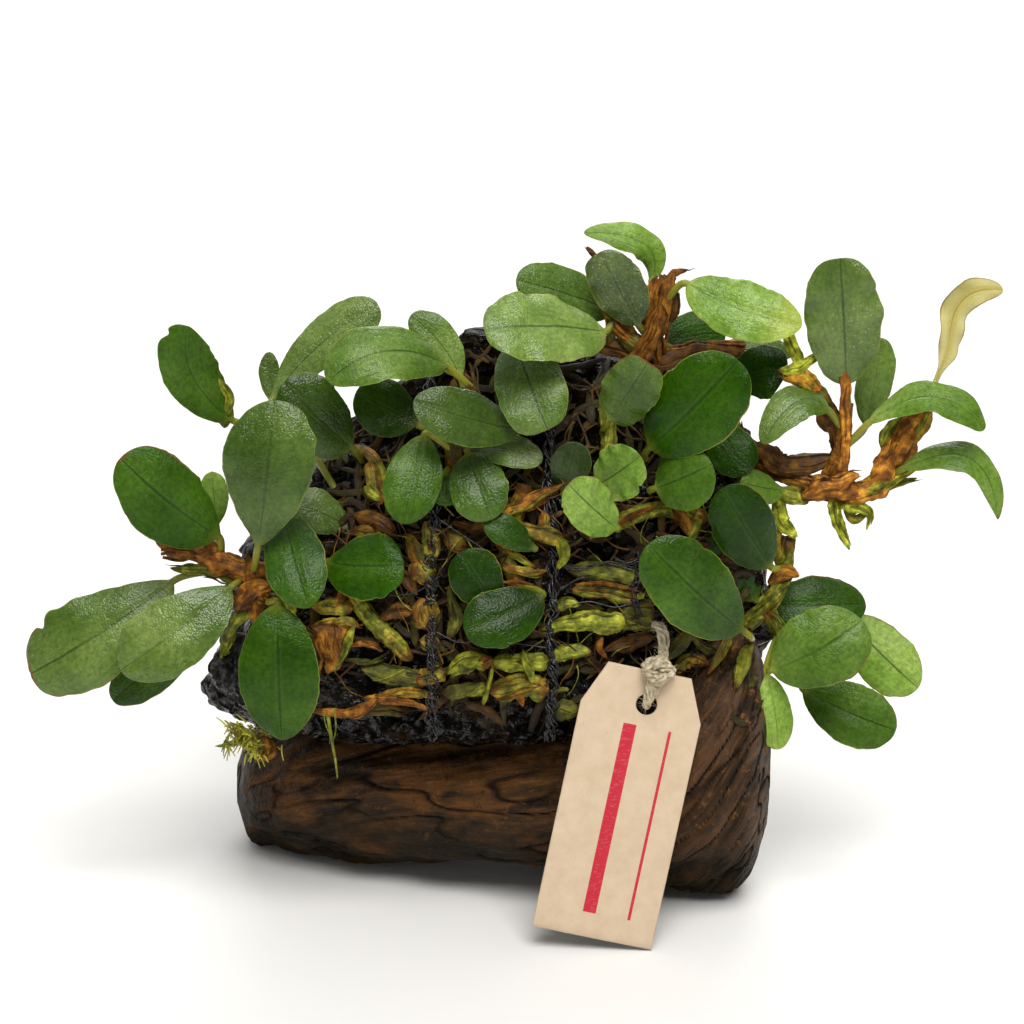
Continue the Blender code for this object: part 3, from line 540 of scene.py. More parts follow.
# The solid wood as one tree of faces, which stems, net, sheaths and roots are laid on.
wood_points, wood_faces = [], []
for node in ("driftwood_log", "driftwood_upper"):
    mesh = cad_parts[node].data
    corners = np.zeros(len(mesh.vertices) * 3)
    mesh.vertices.foreach_get("co", corners)
    wood_faces += [[v + len(wood_points) for v in face.vertices] for face in mesh.polygons]
    wood_points += corners.reshape(-1, 3).tolist()
WOOD_TREE = BVHTree.FromPolygons(wood_points, wood_faces)

OFF_WOOD = 10.0               # how far in front a place lies whose sight line misses the wood


def on_wood(u, v, lift):
    """The point where the sight line through (u, v) meets the solid wood, lifted off it along that line."""
    eye = (EYE + BOX_SHIFT) * MM
    way = unit(u * RIGHT + v * VIEW_UP - EYE)
    hit = WOOD_TREE.ray_cast(Vector(eye), Vector(way))[0]
    if hit is None:
        return seen(u, v, OFF_WOOD)
    return np.array(hit) / MM - way * lift


def tube_grid(paths, radii, sides, flat=None):
    """Rings round many paths at once, shaped (paths, places, 3). The ring's frame is carried along each path
    without twist. flat gives the side direction and a share: rings are thinner by it across that side."""
    ahead = unit(np.gradient(paths, axis=1))
    start = np.broadcast_to(unit(np.array((0.21, 0.37, 1.0))), ahead[:, 0].shape)
    side = unit(np.cross(ahead[:, 0], start))
    rings = []
    turn = np.arange(sides) * 2 * pi / sides
    wide, thin = np.cos(turn)[:, None], np.sin(turn)[:, None]
    for k in range(paths.shape[1]):
        if flat is not None:
            side = np.cross(ahead[:, k], flat[0])
        side = unit(side - np.sum(side * ahead[:, k], axis=-1, keepdims=True) * ahead[:, k])
        over = np.cross(side, ahead[:, k])
        size = np.asarray(radii)[..., k, None, None] if np.ndim(radii) else radii
        squash = 1.0 if flat is None else flat[1]
        rings.append(paths[:, k, None] + size * (wide * side[:, None] + squash * thin * over[:, None]))
    return np.stack(rings, axis=1)


SCAR_GAP, SCAR_SWELL = 3.1, 0.07
STEM_ROWS, STEM_SIDES = 60, 18


def stem_skin(path, start, end, tint, seed):
    """A tube whose radius swells to a scar every few millimetres, with low lumps, and rounds off over its
    last part. Place carries the turn, the length so far and the share of the way along."""
    points = even(path, STEM_ROWS)
    length = way_along(points)
    share = length / length[-1]
    scars = np.abs(np.sin(pi * length / SCAR_GAP + seed)) ** 6
    radius = (start + (end - start) * share) * (0.95 + SCAR_SWELL * scars)
    radius = radius * np.sqrt(np.clip((length[-1] - length) / (0.9 * end), 0.02, 1))
    grid = tube_grid(points[None], radius, STEM_SIDES)
    middle = points[None, :, None]
    swell = 1 + 0.20 * rough(grid, (3.4, 3.4, 3.4), seed, 3)[..., None]
    grid = middle + (grid - middle) * swell
    turn = np.arange(STEM_SIDES) / STEM_SIDES
    return skin(grid, together(turn, length[None, :, None], share[None, :, None]), tint)


def laid(path, strands, radius, spread, twist, sides=8, seed=0, tint=(0.0, 0.0, 0.0), growth=0.0, knots=0.0):
    """Strands laid round a path: each circles it at the given spread, one turn every 2 pi / twist mm, and
    wanders a little. The spread grows by growth towards the end, and with knots it closes at every so many
    mm, where the strands are tied."""
    length = way_along(path)
    ahead = unit(np.gradient(path, axis=0))
    side = unit(np.cross(ahead, np.array((0.23, 0.31, 0.92))))
    over = np.cross(side, ahead)
    which = np.arange(strands)[:, None]
    angles = length[None] * twist + 2 * pi * which / strands
    where = together(length + 40.0 * seed, 9.3 * which, 0)
    angles = angles + 1.1 * rough(where + 5.0, (7, 1, 1), seed, 2)
    spread = (spread + growth * length / length[-1]) * (1 + 0.35 * rough(where, (4, 1, 1), seed, 2))
    if knots:
        spread = spread * (0.3 + 0.9 * np.abs(np.sin(pi * length / knots + seed)) ** 0.7)
    paths = path[None] + spread[..., None] * (np.cos(angles)[..., None] * side[None]
                                              + np.sin(angles)[..., None] * over[None])
    grid = tube_grid(paths, radius, sides)
    share = (length / length[-1])[None, :, None]
    turn = (np.arange(sides) / sides)[None, None]
    return skin(grid, together(turn + 0.37 * which[..., None], length[None, :, None], share), tint)


# The core of a rhizome under its fibres, and how far out the fibres lie, as shares of its thickness.
CORE_SHARE = {"crown_top": 0.58, "rhizome_right": 0.74, "rhizome_left": 0.78}
USUAL_CORE, FIBRE_OUT = 0.86, 0.78
FIBRES, FIBRE_RADIUS, FIBRE_TWIST = 9, 0.44, 0.05
stem_paths, stem_skins = {}, {}
for node, (tint, stems) in RHIZOMES.items():
    stem_skins[node] = []
    for stem, (places, start, end) in stems.items():
        path = stem_paths[stem] = np.array([seen(*place) for place in places])
        core, seed = CORE_SHARE.get(node, USUAL_CORE), len(stem_paths)
        fibres = laid(even(path, STEM_ROWS), FIBRES, FIBRE_RADIUS, FIBRE_OUT * start, FIBRE_TWIST, 6, seed,
                      tint, FIBRE_OUT * (end - start))
        stem_skins[node] += [stem_skin(path, core * start, core * end, tint, seed), fibres]
for node, (tint, stems) in LYING_STEMS.items():
    for stem, (places, lift, size) in stems.items():
        stem_paths[stem] = np.array([on_wood(u, v, lift) for u, v in places])
        stem_skins[node] = [stem_skin(stem_paths[stem], size, size, tint, len(stem_paths))]
for node, places in BACK_STEMS.items():
    stem_paths[node] = np.array(places, dtype=float) + BOX_SHIFT
    stem_skins[node] = [stem_skin(stem_paths[node], *BACK_SIZES, OLIVE, len(stem_paths))]

stem_paint = Paint("rhizome")
spot = stem_paint.here()
around, length, share = stem_paint.mark("place").parts()
green, rust, dull = stem_paint.mark("tint").parts()
mottle = spot.noise(420.0, 3.0, 0.6)
blotch = spot.noise(130.0, 2.0)
scar = (length * (2 * pi / SCAR_GAP)).math("SINE")
young = mottle.ramp((0.3, (0.035, 0.042, 0.003)), (0.5, (0.17, 0.19, 0.01)), (0.7, (0.47, 0.47, 0.05)))
old = mottle.ramp((0.3, (0.06, 0.018, 0.003)), (0.5, (0.26, 0.09, 0.006)), (0.7, (0.62, 0.27, 0.028)))
from_middle = abs(share - 0.5)
patchy = rust + blotch * 0.9 + from_middle.step(0.3, 0.5, 0.0, 0.35)
base = young.coat(patchy.step(0.62, 1.15), old)
base = base.coat(dull * 0.8, (0.022, 0.014, 0.006))
round_way = stem_paint.vector(around * 16.0, length * 0.35, share * 1.6)
fibre = round_way.noise(1.0, 3.0, 0.6)
# Dark streaks along the fibres: partly the fibres' own colour, partly painted shade in the grooves between
# them.
base = base.coat(fibre.step(0.52, 0.32, 0.0, 0.7), (0.03, 0.018, 0.004))
scar_share = scar.step(0.7, 1.0, 0.0, 0.35) * mottle.step(0.4, 0.6)
base = base.coat(scar_share, (0.03, 0.012, 0.004))
browned = from_middle.step(0.34, 0.5, 0.0, 0.8) * blotch.step(0.4, 0.6)
base = base.coat(browned, (0.06, 0.028, 0.005))
# Painted light: pieces whose young number passes about 0.85 are brightened up to twice their own colour,
# standing in for light through them where they hang in shade.
vivid_and_painted_light = green.step(0.85, 1.25, 0.95, 2.1)
base = base.scaled(vivid_and_painted_light)
stem_height = mottle * 0.6 + fibre
stem_paint.finish(base_color=base, roughness=mottle.step(0.3, 0.7, 0.35, 0.62), specular_ior_level=0.22,
                  normal=stem_height.bump(0.55))
STEM_SLOTS = {RUST: "stem_rust", OLIVE: "stem_olive", BROWN: "stem_brown"}
STEM_TINTS = {node: tint for node, (tint, stems) in {**RHIZOMES, **LYING_STEMS}.items()}
for node, skins in stem_skins.items():
    piece(node + "_stems", skins, stem_paint.material, STEM_SLOTS[STEM_TINTS.get(node, OLIVE)], node)

# Leaves: leathery blades on short stalks, each grown from a rhizome or from between the roots. A blade has
# a sunk midrib, faint veins that run forward to a wavy edge, and fine pale dots, painted with the silver
# sparkle that they show; old ones rust at the edge.
# Each: where its stalk starts, the blade's base and tip (u, v, front), the bow of its midrib, its width,
# how far it looks right and up, and its kind, whose colours are (fresh, rusty edge, grey). Fresh also holds
# painted light and shade: high on blades that face up into the light, below nought on blades deep in the
# bush; grey is partly painted sheen.
# GREY blades carry painted sheen in their colour, besides their real shine.
DEEP, FRESH, GREY = (0.06, 0.15, 0.1), (0.65, 0.15, 0.1), (0.2, 0.12, 0.7)
# DARK is painted shade, for blades that lie deep in the bush.
DARK, PALE = (-0.8, 0.2, 0.1), (1.6, 0.35, 0.0)
LEAVES = {
    "upper_left_1": (("upper_left", 1.0), (-70, 113, 0), (-81, 136.5, 4), (-4, 0, 2), 13.5, (0.1, 0.1), DEEP),
    "upper_left_2": (("upper_left", 0.7), (-60, 118, -5), (-33.5, 142, -11), (-1.5, 1.5, 0), 12.5,
                     (-0.2, 0.3), GREY),
    "upper_left_3": ((-36, 100, 0), (-40, 106, 9), (-57, 122.5, 12), (0, 0, 2), 16.5, (0, 0.3), DEEP),
    "left_1": (("left", 0.62), (-73.5, 84, 14), (-98, 103.5, 20), (0, 0, 3), 18.5, (0, 0.1), DEEP),
    "left_2": (("left", 0.4), (-63.5, 81.5, 25), (-59.5, 118, 22), (0.5, 0, 4), 21, (0, 0.1), GREY),
    "left_3": ((-52, 94, -2), (-57, 89.5, 15), (-50.5, 66, 32), (0, 0, 3), 14.5, (0, 0.2), DEEP),
    "left_4": (("left", 0.56), (-85, 72.5, 10), (-120.5, 49.5, 16), (0, 0, 4), 21.5, (0, 0.2), DEEP),
    "left_5": (("left", 0.44), (-70.5, 71, 20), (-98, 50.5, 27), (0, 0, 3), 18, (0, 0.2), GREY),
    "left_6": (("left_low", 1.0), (-58.5, 67, 28), (-57.5, 33, 32), (0, 0, 4), 19, (0, 0), DEEP),
    "left_7": ((-50, 72, 12), (-46, 77.5, 21), (-27, 77, 28), (0, 0, 2), 16, (0, 0.3), DEEP),
    "top_left_1": (("top_left", 1.0), (-16.5, 126.5, 9), (-46, 122.5, 22), (0, 6, 2), 15.5, (0, 0.6), FRESH),
    "top_left_2": ((8, 113, 2), (1.5, 110.5, 17), (-24.5, 118, 27), (0, 0, 2), 14, (0, 0.4), GREY),
    "top_left_3": (("top_left", 0.35), (-22, 109, 19), (-27.5, 87, 30), (0, 0, 2), 13, (0, 0), DEEP),
    "top_left_4": ((-9, 106, 4), (-11, 104.5, 17), (-5, 88, 26), (0, 0, 2), 13.5, (0, 0.2), DEEP),
    "top_1": (("crown_left", 1.0), (23, 135, 8), (-7, 135.5, 24), (0, 2, 3), 18, (0, 0.5), DEEP),
    "top_2": (("crown_left", 0.55), (25, 140, 0), (1, 148, 8), (0, 1, 1), 13, (0, 0.3), FRESH),
    "top_3": (("crown", 0.35), (31.5, 137, 6), (22, 155, 8), (0, 0, 1), 12.5, (-0.2, 0.1), GREY),
    "top_4": (("crown", 0.95), (35, 148, -4), (18, 160, -4), (6, 3, 0), 8, (0, 0.6), FRESH),
    "top_5": (("crown", 0.7), (44, 147, 8), (72.5, 136.5, 15), (0, -1, 2), 14.5, (0, 0.3), FRESH),
    "top_6": ((22, 108, 4), (24.5, 113.5, 17), (34, 127.5, 24), (0, 0, 1), 13, (0, 0.2), DEEP),
    "top_7": ((34, 102, 6), (34.5, 106, 20), (56.5, 128, 24), (0, 0, 2), 20, (0, 0.2), DEEP),
    "top_8": ((6, 131, -6), (1, 132, 9), (9, 110.5, 24), (0, 0, 3), 16.5, (0, 0.3), DEEP),
    "right_1": (("branch_mid", 0.7), (79, 115.5, 9), (62.5, 107, 18), (0, 6, 0), 10, (0, 0.8), FRESH),
    "right_2": (("branch_mid", 1.0), (83.5, 122, 9), (82, 153.5, 12), (0, 0, 2), 17.6, (0, 0), GREY),
    "right_3": (("branch_mid", 0.45), (88.5, 112, 1), (92.5, 133.5, -2), (0, 0, 1), 9, (0, 0.1), FRESH),
    "right_4": (("branch_mid", 0.4), (89.5, 112.5, 9), (118, 110.5, 14), (1, 7.5, 1), 10, (0, 1.1), FRESH),
    "right_5": (("branch", 0.97), (105.5, 121.5, 2), (122.8, 145.5, -3), (-4.2, 3.4, 0), 7.4, (0.3, 0), PALE),
    "right_6": (("branch", 0.68), (98, 101, 9), (121.5, 88, 13), (4, 9, 1), 9, (0, 1.1), FRESH),
    "middle_1": ((35, 95, 8), (36, 96, 21), (50, 102, 26), (0, 0, 1), 15.5, (0, 0.2), DEEP),
    "middle_2": ((24, 95, 5), (21, 96.5, 21), (32, 104, 28), (0, 0, 1), 13, (0, 0.2), FRESH),
    "middle_3": (("middle_right", 0.25), (26, 86, 27), (14, 97, 33), (0, 0, 1), 12, (0, 0.2), FRESH),
    "middle_4": ((-6, 62, 14), (-4, 67, 29), (-13, 80, 28), (0, 0, 1), 12.5, (0, 0), DARK),
    "middle_5": (("middle", 0.95), (7.5, 69, 28), (-12, 60.5, 36), (0, 0, 2), 14, (0, 0.2), DEEP),
    "low_right_1": (("right_low", 0.7), (64.5, 76.5, 15), (52.5, 96, 22), (0, 0, 2), 15, (0, 0.1), DARK),
    "low_right_2": ((60, 58, 8), (57.5, 60.5, 28), (34, 82, 34), (0, 0, 3), 18.5, (0, 0.1), DEEP),
    "low_right_3": (("right_low", 0.36), (64.5, 66, 6), (88.5, 67, 2), (0, 1, 2), 14.5, (0, 0.3), DEEP),
    "low_right_4": (("right_out", 0.55), (65, 50.5, 21), (87.5, 63, 20), (0, 0, 3), 19, (0, 0.1), FRESH),
    "low_right_5": ((59, 63, -8), (83, 64, -7), (101.5, 46, -1), (0, 0, 2), 15, (0, 0.2), FRESH),
    "low_right_6": (("right_out", 1.0), (73, 45.5, 9), (96, 35.5, 12), (0, 0, 2), 15, (0, 0.1), DEEP),
}
# How some blades differ from the usual one, for the edges on the left and on the right: where they are widest
# and how pointed; then how deep and how many the waves of the edge are, how far the blade folds up along its
# midrib, a notch in one edge (which, where, how wide, how deep), and how far the blade sways.
BLADE_FORM = dict(widest=(0.54, 0.57), point=(1.08, 1.12), wave=0.05, waves=2.2, fold=0.14, notch=None,
                  sway=0.0)
BLADE_FORMS = {
    "upper_left_1": dict(widest=(0.62, 0.50), point=(0.95, 1.15), notch=(-1, 0.9, 0.03, 0.2)),
    "upper_left_2": dict(widest=(0.64, 0.68), point=(1.4, 1.2), waves=1.6, fold=0.2),
    "upper_left_3": dict(widest=(0.5, 0.6), point=(1.1, 1.0)),
    "left_1": dict(widest=(0.50, 0.60), point=(1.1, 1.0), fold=0.05),
    "left_2": dict(widest=(0.62, 0.66), point=(1.5, 1.2), wave=0.04, fold=0.08),
    "left_3": dict(widest=(0.46, 0.5), point=(1.2, 1.3)),
    "left_4": dict(widest=(0.6, 0.66), point=(1.0, 1.1), wave=0.07, waves=1.6, notch=(1, 0.8, 0.03, 0.18)),
    "left_5": dict(widest=(0.52, 0.6), point=(1.2, 1.15), fold=0.18),
    "left_6": dict(widest=(0.50, 0.48), point=(1.2, 1.3), wave=0.03),
    "left_7": dict(widest=(0.56, 0.54), point=(1.0, 1.0)),
    "top_left_1": dict(widest=(0.50, 0.60), point=(1.0, 1.2), fold=0.18),
    "top_left_2": dict(widest=(0.56, 0.5), point=(1.2, 1.1), fold=0.22, waves=3.0),
    "top_left_3": dict(widest=(0.50, 0.52), point=(1.2, 1.15)),
    "top_left_4": dict(widest=(0.44, 0.5), point=(0.9, 1.0)),
    "top_1": dict(widest=(0.52, 0.56), point=(0.85, 0.95), wave=0.08, waves=3.2),
    "top_3": dict(widest=(0.6, 0.52), point=(0.9, 0.95), wave=0.1, waves=2.8),
    "top_4": dict(point=(1.2, 1.3), wave=0.1, waves=3.0),
    "top_5": dict(widest=(0.52, 0.44), point=(0.95, 1.3), wave=0.10, waves=3.1, fold=0.2),
    "top_6": dict(widest=(0.5, 0.54), point=(0.55, 0.6), wave=0.08, waves=3.0),
    "top_7": dict(widest=(0.5, 0.56), point=(0.9, 0.95)),
    "top_8": dict(widest=(0.42, 0.56), point=(0.62, 0.7), fold=0.24, wave=0.07),
    "right_1": dict(widest=(0.5, 0.5), point=(1.1, 1.15)),
    "right_2": dict(widest=(0.58, 0.55), wave=0.09, waves=3.3, point=(0.84, 0.88), fold=0.2),
    "right_4": dict(wave=0.12),
    "right_5": dict(widest=(0.7, 0.62), wave=0.3, waves=3.4, point=(1.5, 1.5), sway=2.2, fold=0.3),
    "right_6": dict(wave=0.08, widest=(0.46, 0.42), point=(1.3, 1.45)),
    "middle_1": dict(widest=(0.5, 0.5), point=(0.95, 1.0)),
    "middle_2": dict(widest=(0.48, 0.5), point=(0.85, 0.95), wave=0.1, waves=3.6, notch=(1, 0.7, 0.03, 0.12)),
    "middle_3": dict(widest=(0.5, 0.54), point=(0.9, 0.95), wave=0.09, waves=3.1,
                     notch=(-1, 0.8, 0.03, 0.10)),
    "low_right_3": dict(widest=(0.5, 0.5), point=(1.0, 1.05)),
    "low_right_4": dict(widest=(0.5, 0.6), point=(0.95, 0.95)),
}
# The colours of single blades, as (fresh, rusty edge, grey), where they differ from their kind. Their fresh
# numbers hold painted light on blades that face up and painted shade on blades deep in the bush.
SHADES = {
    "left_1": (0.04, 0.45, 0.0), "left_2": (0.1, 0.15, 0.5), "left_3": (-0.12, 0.1, 0.12),
    "left_4": (0.5, 0.45, 0.65), "left_5": (0.78, 0.12, 0.8), "left_6": (0.06, 0.1, 0.0),
    "left_7": (-0.2, 0.1, 0.0), "upper_left_1": (0.15, 0.1, 0.0), "upper_left_2": (0.55, 0.1, 0.7),
    "upper_left_3": (-0.1, 0.1, 0.5), "top_left_1": (0.38, 0.1, 0.2), "top_left_2": (0.0, 0.1, 0.6),
    "top_left_3": (0.15, 0.1, 0.1), "top_left_4": (0.08, 0.1, 0.3), "top_1": (0.95, 0.2, 0.6),
    "top_2": (0.35, 0.1, 0.3), "top_3": (0.05, 0.1, 0.9), "top_4": (0.85, 0.4, 0.1),
    "top_5": (1.06, 0.25, 0.2), "top_6": (0.25, 0.4, 0.4), "top_7": (-0.1, 0.1, 0.0),
    "top_8": (0.22, 0.1, 0.42), "right_1": (0.4, 0.1, 0.5), "right_2": (0.44, 0.1, 0.65),
    "right_3": (0.5, 0.1, 0.5), "right_4": (0.6, 0.2, 0.1), "right_6": (0.6, 0.35, 0.1),
    "middle_1": (0.15, 0.1, 0.0), "middle_3": (0.8, 0.4, 0.1), "middle_5": (-0.5, 0.1, 0.1),
    "middle_4": (-0.6, 0.2, 0.0), "low_right_1": (-0.5, 0.2, 0.0), "low_right_3": (0.08, 0.7, 0.0),
    "low_right_4": (0.35, 0.3, 0.1), "low_right_5": (0.8, 0.2, 0.0), "low_right_6": (0.2, 0.2, 0.0),
}
STALK_SIZE, BLADE_THICK, EDGE_THICK = 0.85, 0.34, 0.10
BLADE_ROWS, BLADE_AROUND, STALK_ROWS, RIM_WAVER = 76, 44, 12, 0.048
EDGE_DROP, MIDRIB_DEPTH, MIDRIB_WIDTH = 0.06, 0.22, 0.45
VEINS, VEIN_LEAN, VEIN_DEPTH, DENT_DEPTH = 6.0, 3.2, 0.004, 0.26


def leaf_skin(root, base, tip, bow, width, look, tint, seed, form=None, rows=BLADE_ROWS, around=BLADE_AROUND):
    """One closed skin from the stalk's root to the blade's tip. Each ring is a thin lens: across it cos(a)
    runs from edge to edge and sin(a) from the lower to the upper face. On each side of the midrib the half
    width is that of the shape (s/m)^m ((1-s)/(1-m))^(1-m), to a power, m being where it is widest, less a
    notch where there is one. The edges hang back and wave, the blade is dented in broad lumps, the midrib is
    a groove and the veins are low ridges."""
    form = {**BLADE_FORM, **(form or {})}
    t = np.linspace(0, 1, rows)
    s = np.clip(t - 0.10 * np.sin(2 * pi * t), 0, 0.9985)[:, None]
    face = unit(TO_EYE + look[0] * RIGHT + look[1] * SKY)
    chord, arch = tip - base, np.array((bow[0], -bow[2], bow[1]))
    middle = base + s * chord + 4 * s * (1 - s) * arch
    ahead = unit(chord + (4 - 8 * s) * arch)
    side = unit(np.cross(ahead, face))
    over = np.cross(side, ahead)
    middle = middle + form["sway"] * np.sin(2 * pi * s) * side

    # The stalk: a Hermite curve that leaves the root straight and meets the midrib's direction.
    h = np.linspace(0, 1, STALK_ROWS, endpoint=False)[:, None]
    reach = base - root
    meet = 0.8 * np.linalg.norm(reach) * ahead[0]
    stalk = ((1 + 2 * h) * (1 - h) ** 2 * root + h * (1 - h) ** 2 * reach
             + h * h * (3 - 2 * h) * base - h * h * (1 - h) * meet)
    line = np.concatenate([stalk, middle])
    direction = unit(np.gradient(line[:STALK_ROWS + 2], axis=0))[:STALK_ROWS]
    stalk_side, carried = [], side[0]
    for step in direction[::-1]:
        carried = unit(carried - np.dot(carried, step) * step)
        stalk_side.append(carried)
    stalk_side = np.array(stalk_side[::-1])
    side = np.concatenate([stalk_side, side])[:, None]
    over = np.concatenate([np.cross(stalk_side, direction), over])[:, None]
    s = np.concatenate([h - 1, s])

    a = np.arange(around) * 2 * pi / around
    w, upper = np.cos(a)[None], np.sin(a)[None]
    on_blade = np.clip(s, 0, 1)
    sides = []
    for edge, m, power in zip((-1, 1), form["widest"], form["point"]):
        reach = ((on_blade / m) ** m * ((1 - on_blade) / (1 - m)) ** (1 - m)) ** power
        rim = rough(together(s, 5.0 * edge, 0), (0.10, 1, 1), seed, 3)
        reach = reach * (1 + RIM_WAVER * rim)
        if form["notch"] and form["notch"][0] == edge:
            place, size, depth = form["notch"][1:]
            reach = reach * (1 - depth * np.exp(-((on_blade - place) / size) ** 2))
        sides.append(np.hypot(width / 2 * reach, STALK_SIZE * np.clip(1 - 3 * on_blade, 0, 1)))
    half = np.where(w > 0, sides[1], sides[0])
    thick = BLADE_THICK / 2 + (STALK_SIZE - BLADE_THICK / 2) * np.exp(-on_blade / 0.045)
    lens = upper * (thick - (thick - EDGE_THICK / 2) * np.abs(w) ** 2 * (on_blade > 0))
    blade = np.clip(on_blade / 0.08, 0, 1) * (s > 0)
    phase = seed * 2.3 + np.where(w > 0, 0.0, 2.1)
    wave = form["wave"] * half * np.abs(w) ** 2.4 * np.sin(2 * pi * form["waves"] * s + phase)
    fold = form["fold"] * half * np.abs(w) - 2 * (EDGE_DROP + form["fold"] / 3) * half * w * w
    rib = -MIDRIB_DEPTH * np.exp(-(w * half / MIDRIB_WIDTH) ** 2)
    vein = VEIN_DEPTH * np.sin(2 * pi * (VEINS * np.abs(w) - VEIN_LEAN * s)) * np.abs(w) ** 0.5 * (1 - w * w)
    flat = together(half * w, s * np.linalg.norm(chord), 0)
    dent = DENT_DEPTH * rough(flat, (4.0, 9.0, 1.0), seed + 9, 3)
    lift = lens + blade * (wave + fold + rib + vein + dent)
    grid = line[:, None] + (half * w)[..., None] * side + lift[..., None] * over
    return skin(grid[None], together(w, s, upper)[None], tint)


def root_of(grows_from):
    """Where a stalk starts: a share of the way along a stem, or a place in the wood."""
    if isinstance(grows_from[0], str):
        path = stem_paths[grows_from[0]]
        return smooth([grows_from[1] * (len(path) - 1)], np.arange(len(path)), path)[0]
    return seen(*grows_from)


leaf_paint = Paint("leaf")
spot = leaf_paint.here()
across, along, upper = leaf_paint.mark("place").parts()
fresh_light_and_shade, rusting, sheen_grey = leaf_paint.mark("tint").parts()
aside = abs(across)
mottle = spot.noise(60.0, 2.0)
patch = spot.noise(38.0, 1.0)
grain = spot.noise(2300.0, 2.0, 0.6)
cells = spot.noise(900.0, 3.0, 0.65)
deep = mottle.ramp((0.3, (0.009, 0.036, 0.0002)), (0.5, (0.018, 0.062, 0.0004)), (0.7, (0.032, 0.094, 0.001)))
light = mottle.ramp((0.3, (0.11, 0.22, 0.017)), (0.5, (0.2, 0.34, 0.045)), (0.7, (0.33, 0.47, 0.1)))
# Fresh above nought lightens a blade: partly young growth, partly painted light on blades that face up into
# the top light.
green = deep.coat(fresh_light_and_shade, light)
painted_sheen_grey = mottle.ramp((0.3, (0.034, 0.056, 0.008)), (0.5, (0.067, 0.1, 0.019)), (0.7, (0.118, 0.155, 0.04)))
# Painted sheen: the grey-white shine of blades that look up into the light, laid into their colour.
green = green.coat(sheen_grey * 0.8, painted_sheen_grey)
vein_way = aside * VEINS - along * VEIN_LEAN + mottle * 1.5
vein = (vein_way * (2 * pi)).math("SINE")
green = green.coat(vein.step(-0.2, -1.0, 0.0, 0.1), (0.01, 0.035, 0.002))
# Painted shade: fresh below nought darkens blades that lie deep in the bush.
lively_and_shade = cells.step(0.25, 0.75, 0.72, 1.28) * fresh_light_and_shade.step(-1.0, 0.0, 0.35, 1.0)
green = green.scaled(lively_and_shade)
broken = patch.step(0.36, 0.56, 0.4, 1.0)
midrib = aside.step(0.05, 0.012) * broken
green = green.coat(midrib * 0.72, (0.01, 0.03, 0.003))
# Painted highlight: faint pale bands along both sides of the midrib's groove.
beside = aside.step(0.14, 0.05) * aside.step(0.03, 0.055)
green = green.coat(beside * 0.06, (0.2, 0.27, 0.07))
# The leaf's own fine pale speckles, painted with their silver sparkle, more on blades with painted sheen.
speckle_sparkle = grain.step(0.6, 0.7) * patch.step(0.46, 0.64) * (sheen_grey * 0.3 + 0.14)
green = green.coat(speckle_sparkle, (0.46, 0.52, 0.34))
under = upper.step(0.02, -0.02)
green = green.coat(under * 0.55, (0.13, 0.2, 0.04))
rim = aside.step(0.962, 0.985, 0.0, 0.65) * patch.step(0.38, 0.6, 0.25, 1.0)
green = green.coat(rim, (0.27, 0.33, 0.045))
edge = aside.step(0.93, 1.0).math("MAXIMUM", along.step(0.965, 1.0))
edge = edge * patch.step(0.48, 0.62) * (rusting * 3.0)
green = green.coat(edge, (0.15, 0.045, 0.01))
yellowing = fresh_light_and_shade.step(1.0, 1.05, 0.0, 0.5) * along.step(0.62, 0.9)
green = green.coat(yellowing, (0.4, 0.43, 0.07))
stalk_green = mottle.ramp((0.35, (0.12, 0.12, 0.01)), (0.6, (0.28, 0.28, 0.03)))
green = green.coat(along.step(0.1, -0.12), stalk_green)
straw = mottle.ramp((0.35, (0.3, 0.27, 0.08)), (0.6, (0.52, 0.47, 0.19)))
straw = straw.coat(aside.step(0.86, 0.97, 0.0, 0.8), (0.2, 0.11, 0.03))
straw = straw.coat(aside.step(0.55, 0.1, 0.0, 0.55), (0.4, 0.33, 0.06))
straw = straw.coat(midrib * 0.6, (0.2, 0.12, 0.03))
green = green.coat(fresh_light_and_shade.step(1.2, 1.5), straw)
wrinkle_way = leaf_paint.vector(across * 5.0, along * 1.3, patch * 4.0)
wrinkles = wrinkle_way.noise(1.0, 3.0, 0.6)
cells = cells + wrinkles * 1.1
pebbles = spot.cells(1900.0)
cells = cells - pebbles * 0.5
leaf_height = cells * 0.8 + vein * 0.03
shine = sheen_grey * 0.4 + 0.15
leaf_paint.finish(base_color=green, roughness=patch.step(0.3, 0.7, 0.17, 0.33), specular_ior_level=shine,
                  normal=leaf_height.bump(0.21))
LEAF_SLOTS = {DEEP: "leaf_deep_green", FRESH: "leaf_fresh_green", GREY: "leaf_grey_green",
              DARK: "leaf_dark_green", PALE: "leaf_pale"}
for seed, (name, (grows_from, base, tip, bow, width, look, tint)) in enumerate(LEAVES.items()):
    blade = leaf_skin(root_of(grows_from), seen(*base), seen(*tip), bow, width, look, SHADES.get(name, tint),
                      seed, BLADE_FORMS.get(name))
    piece("leaf_" + name + "_blade", [blade], leaf_paint.material, LEAF_SLOTS[tint], "leaf_" + name)

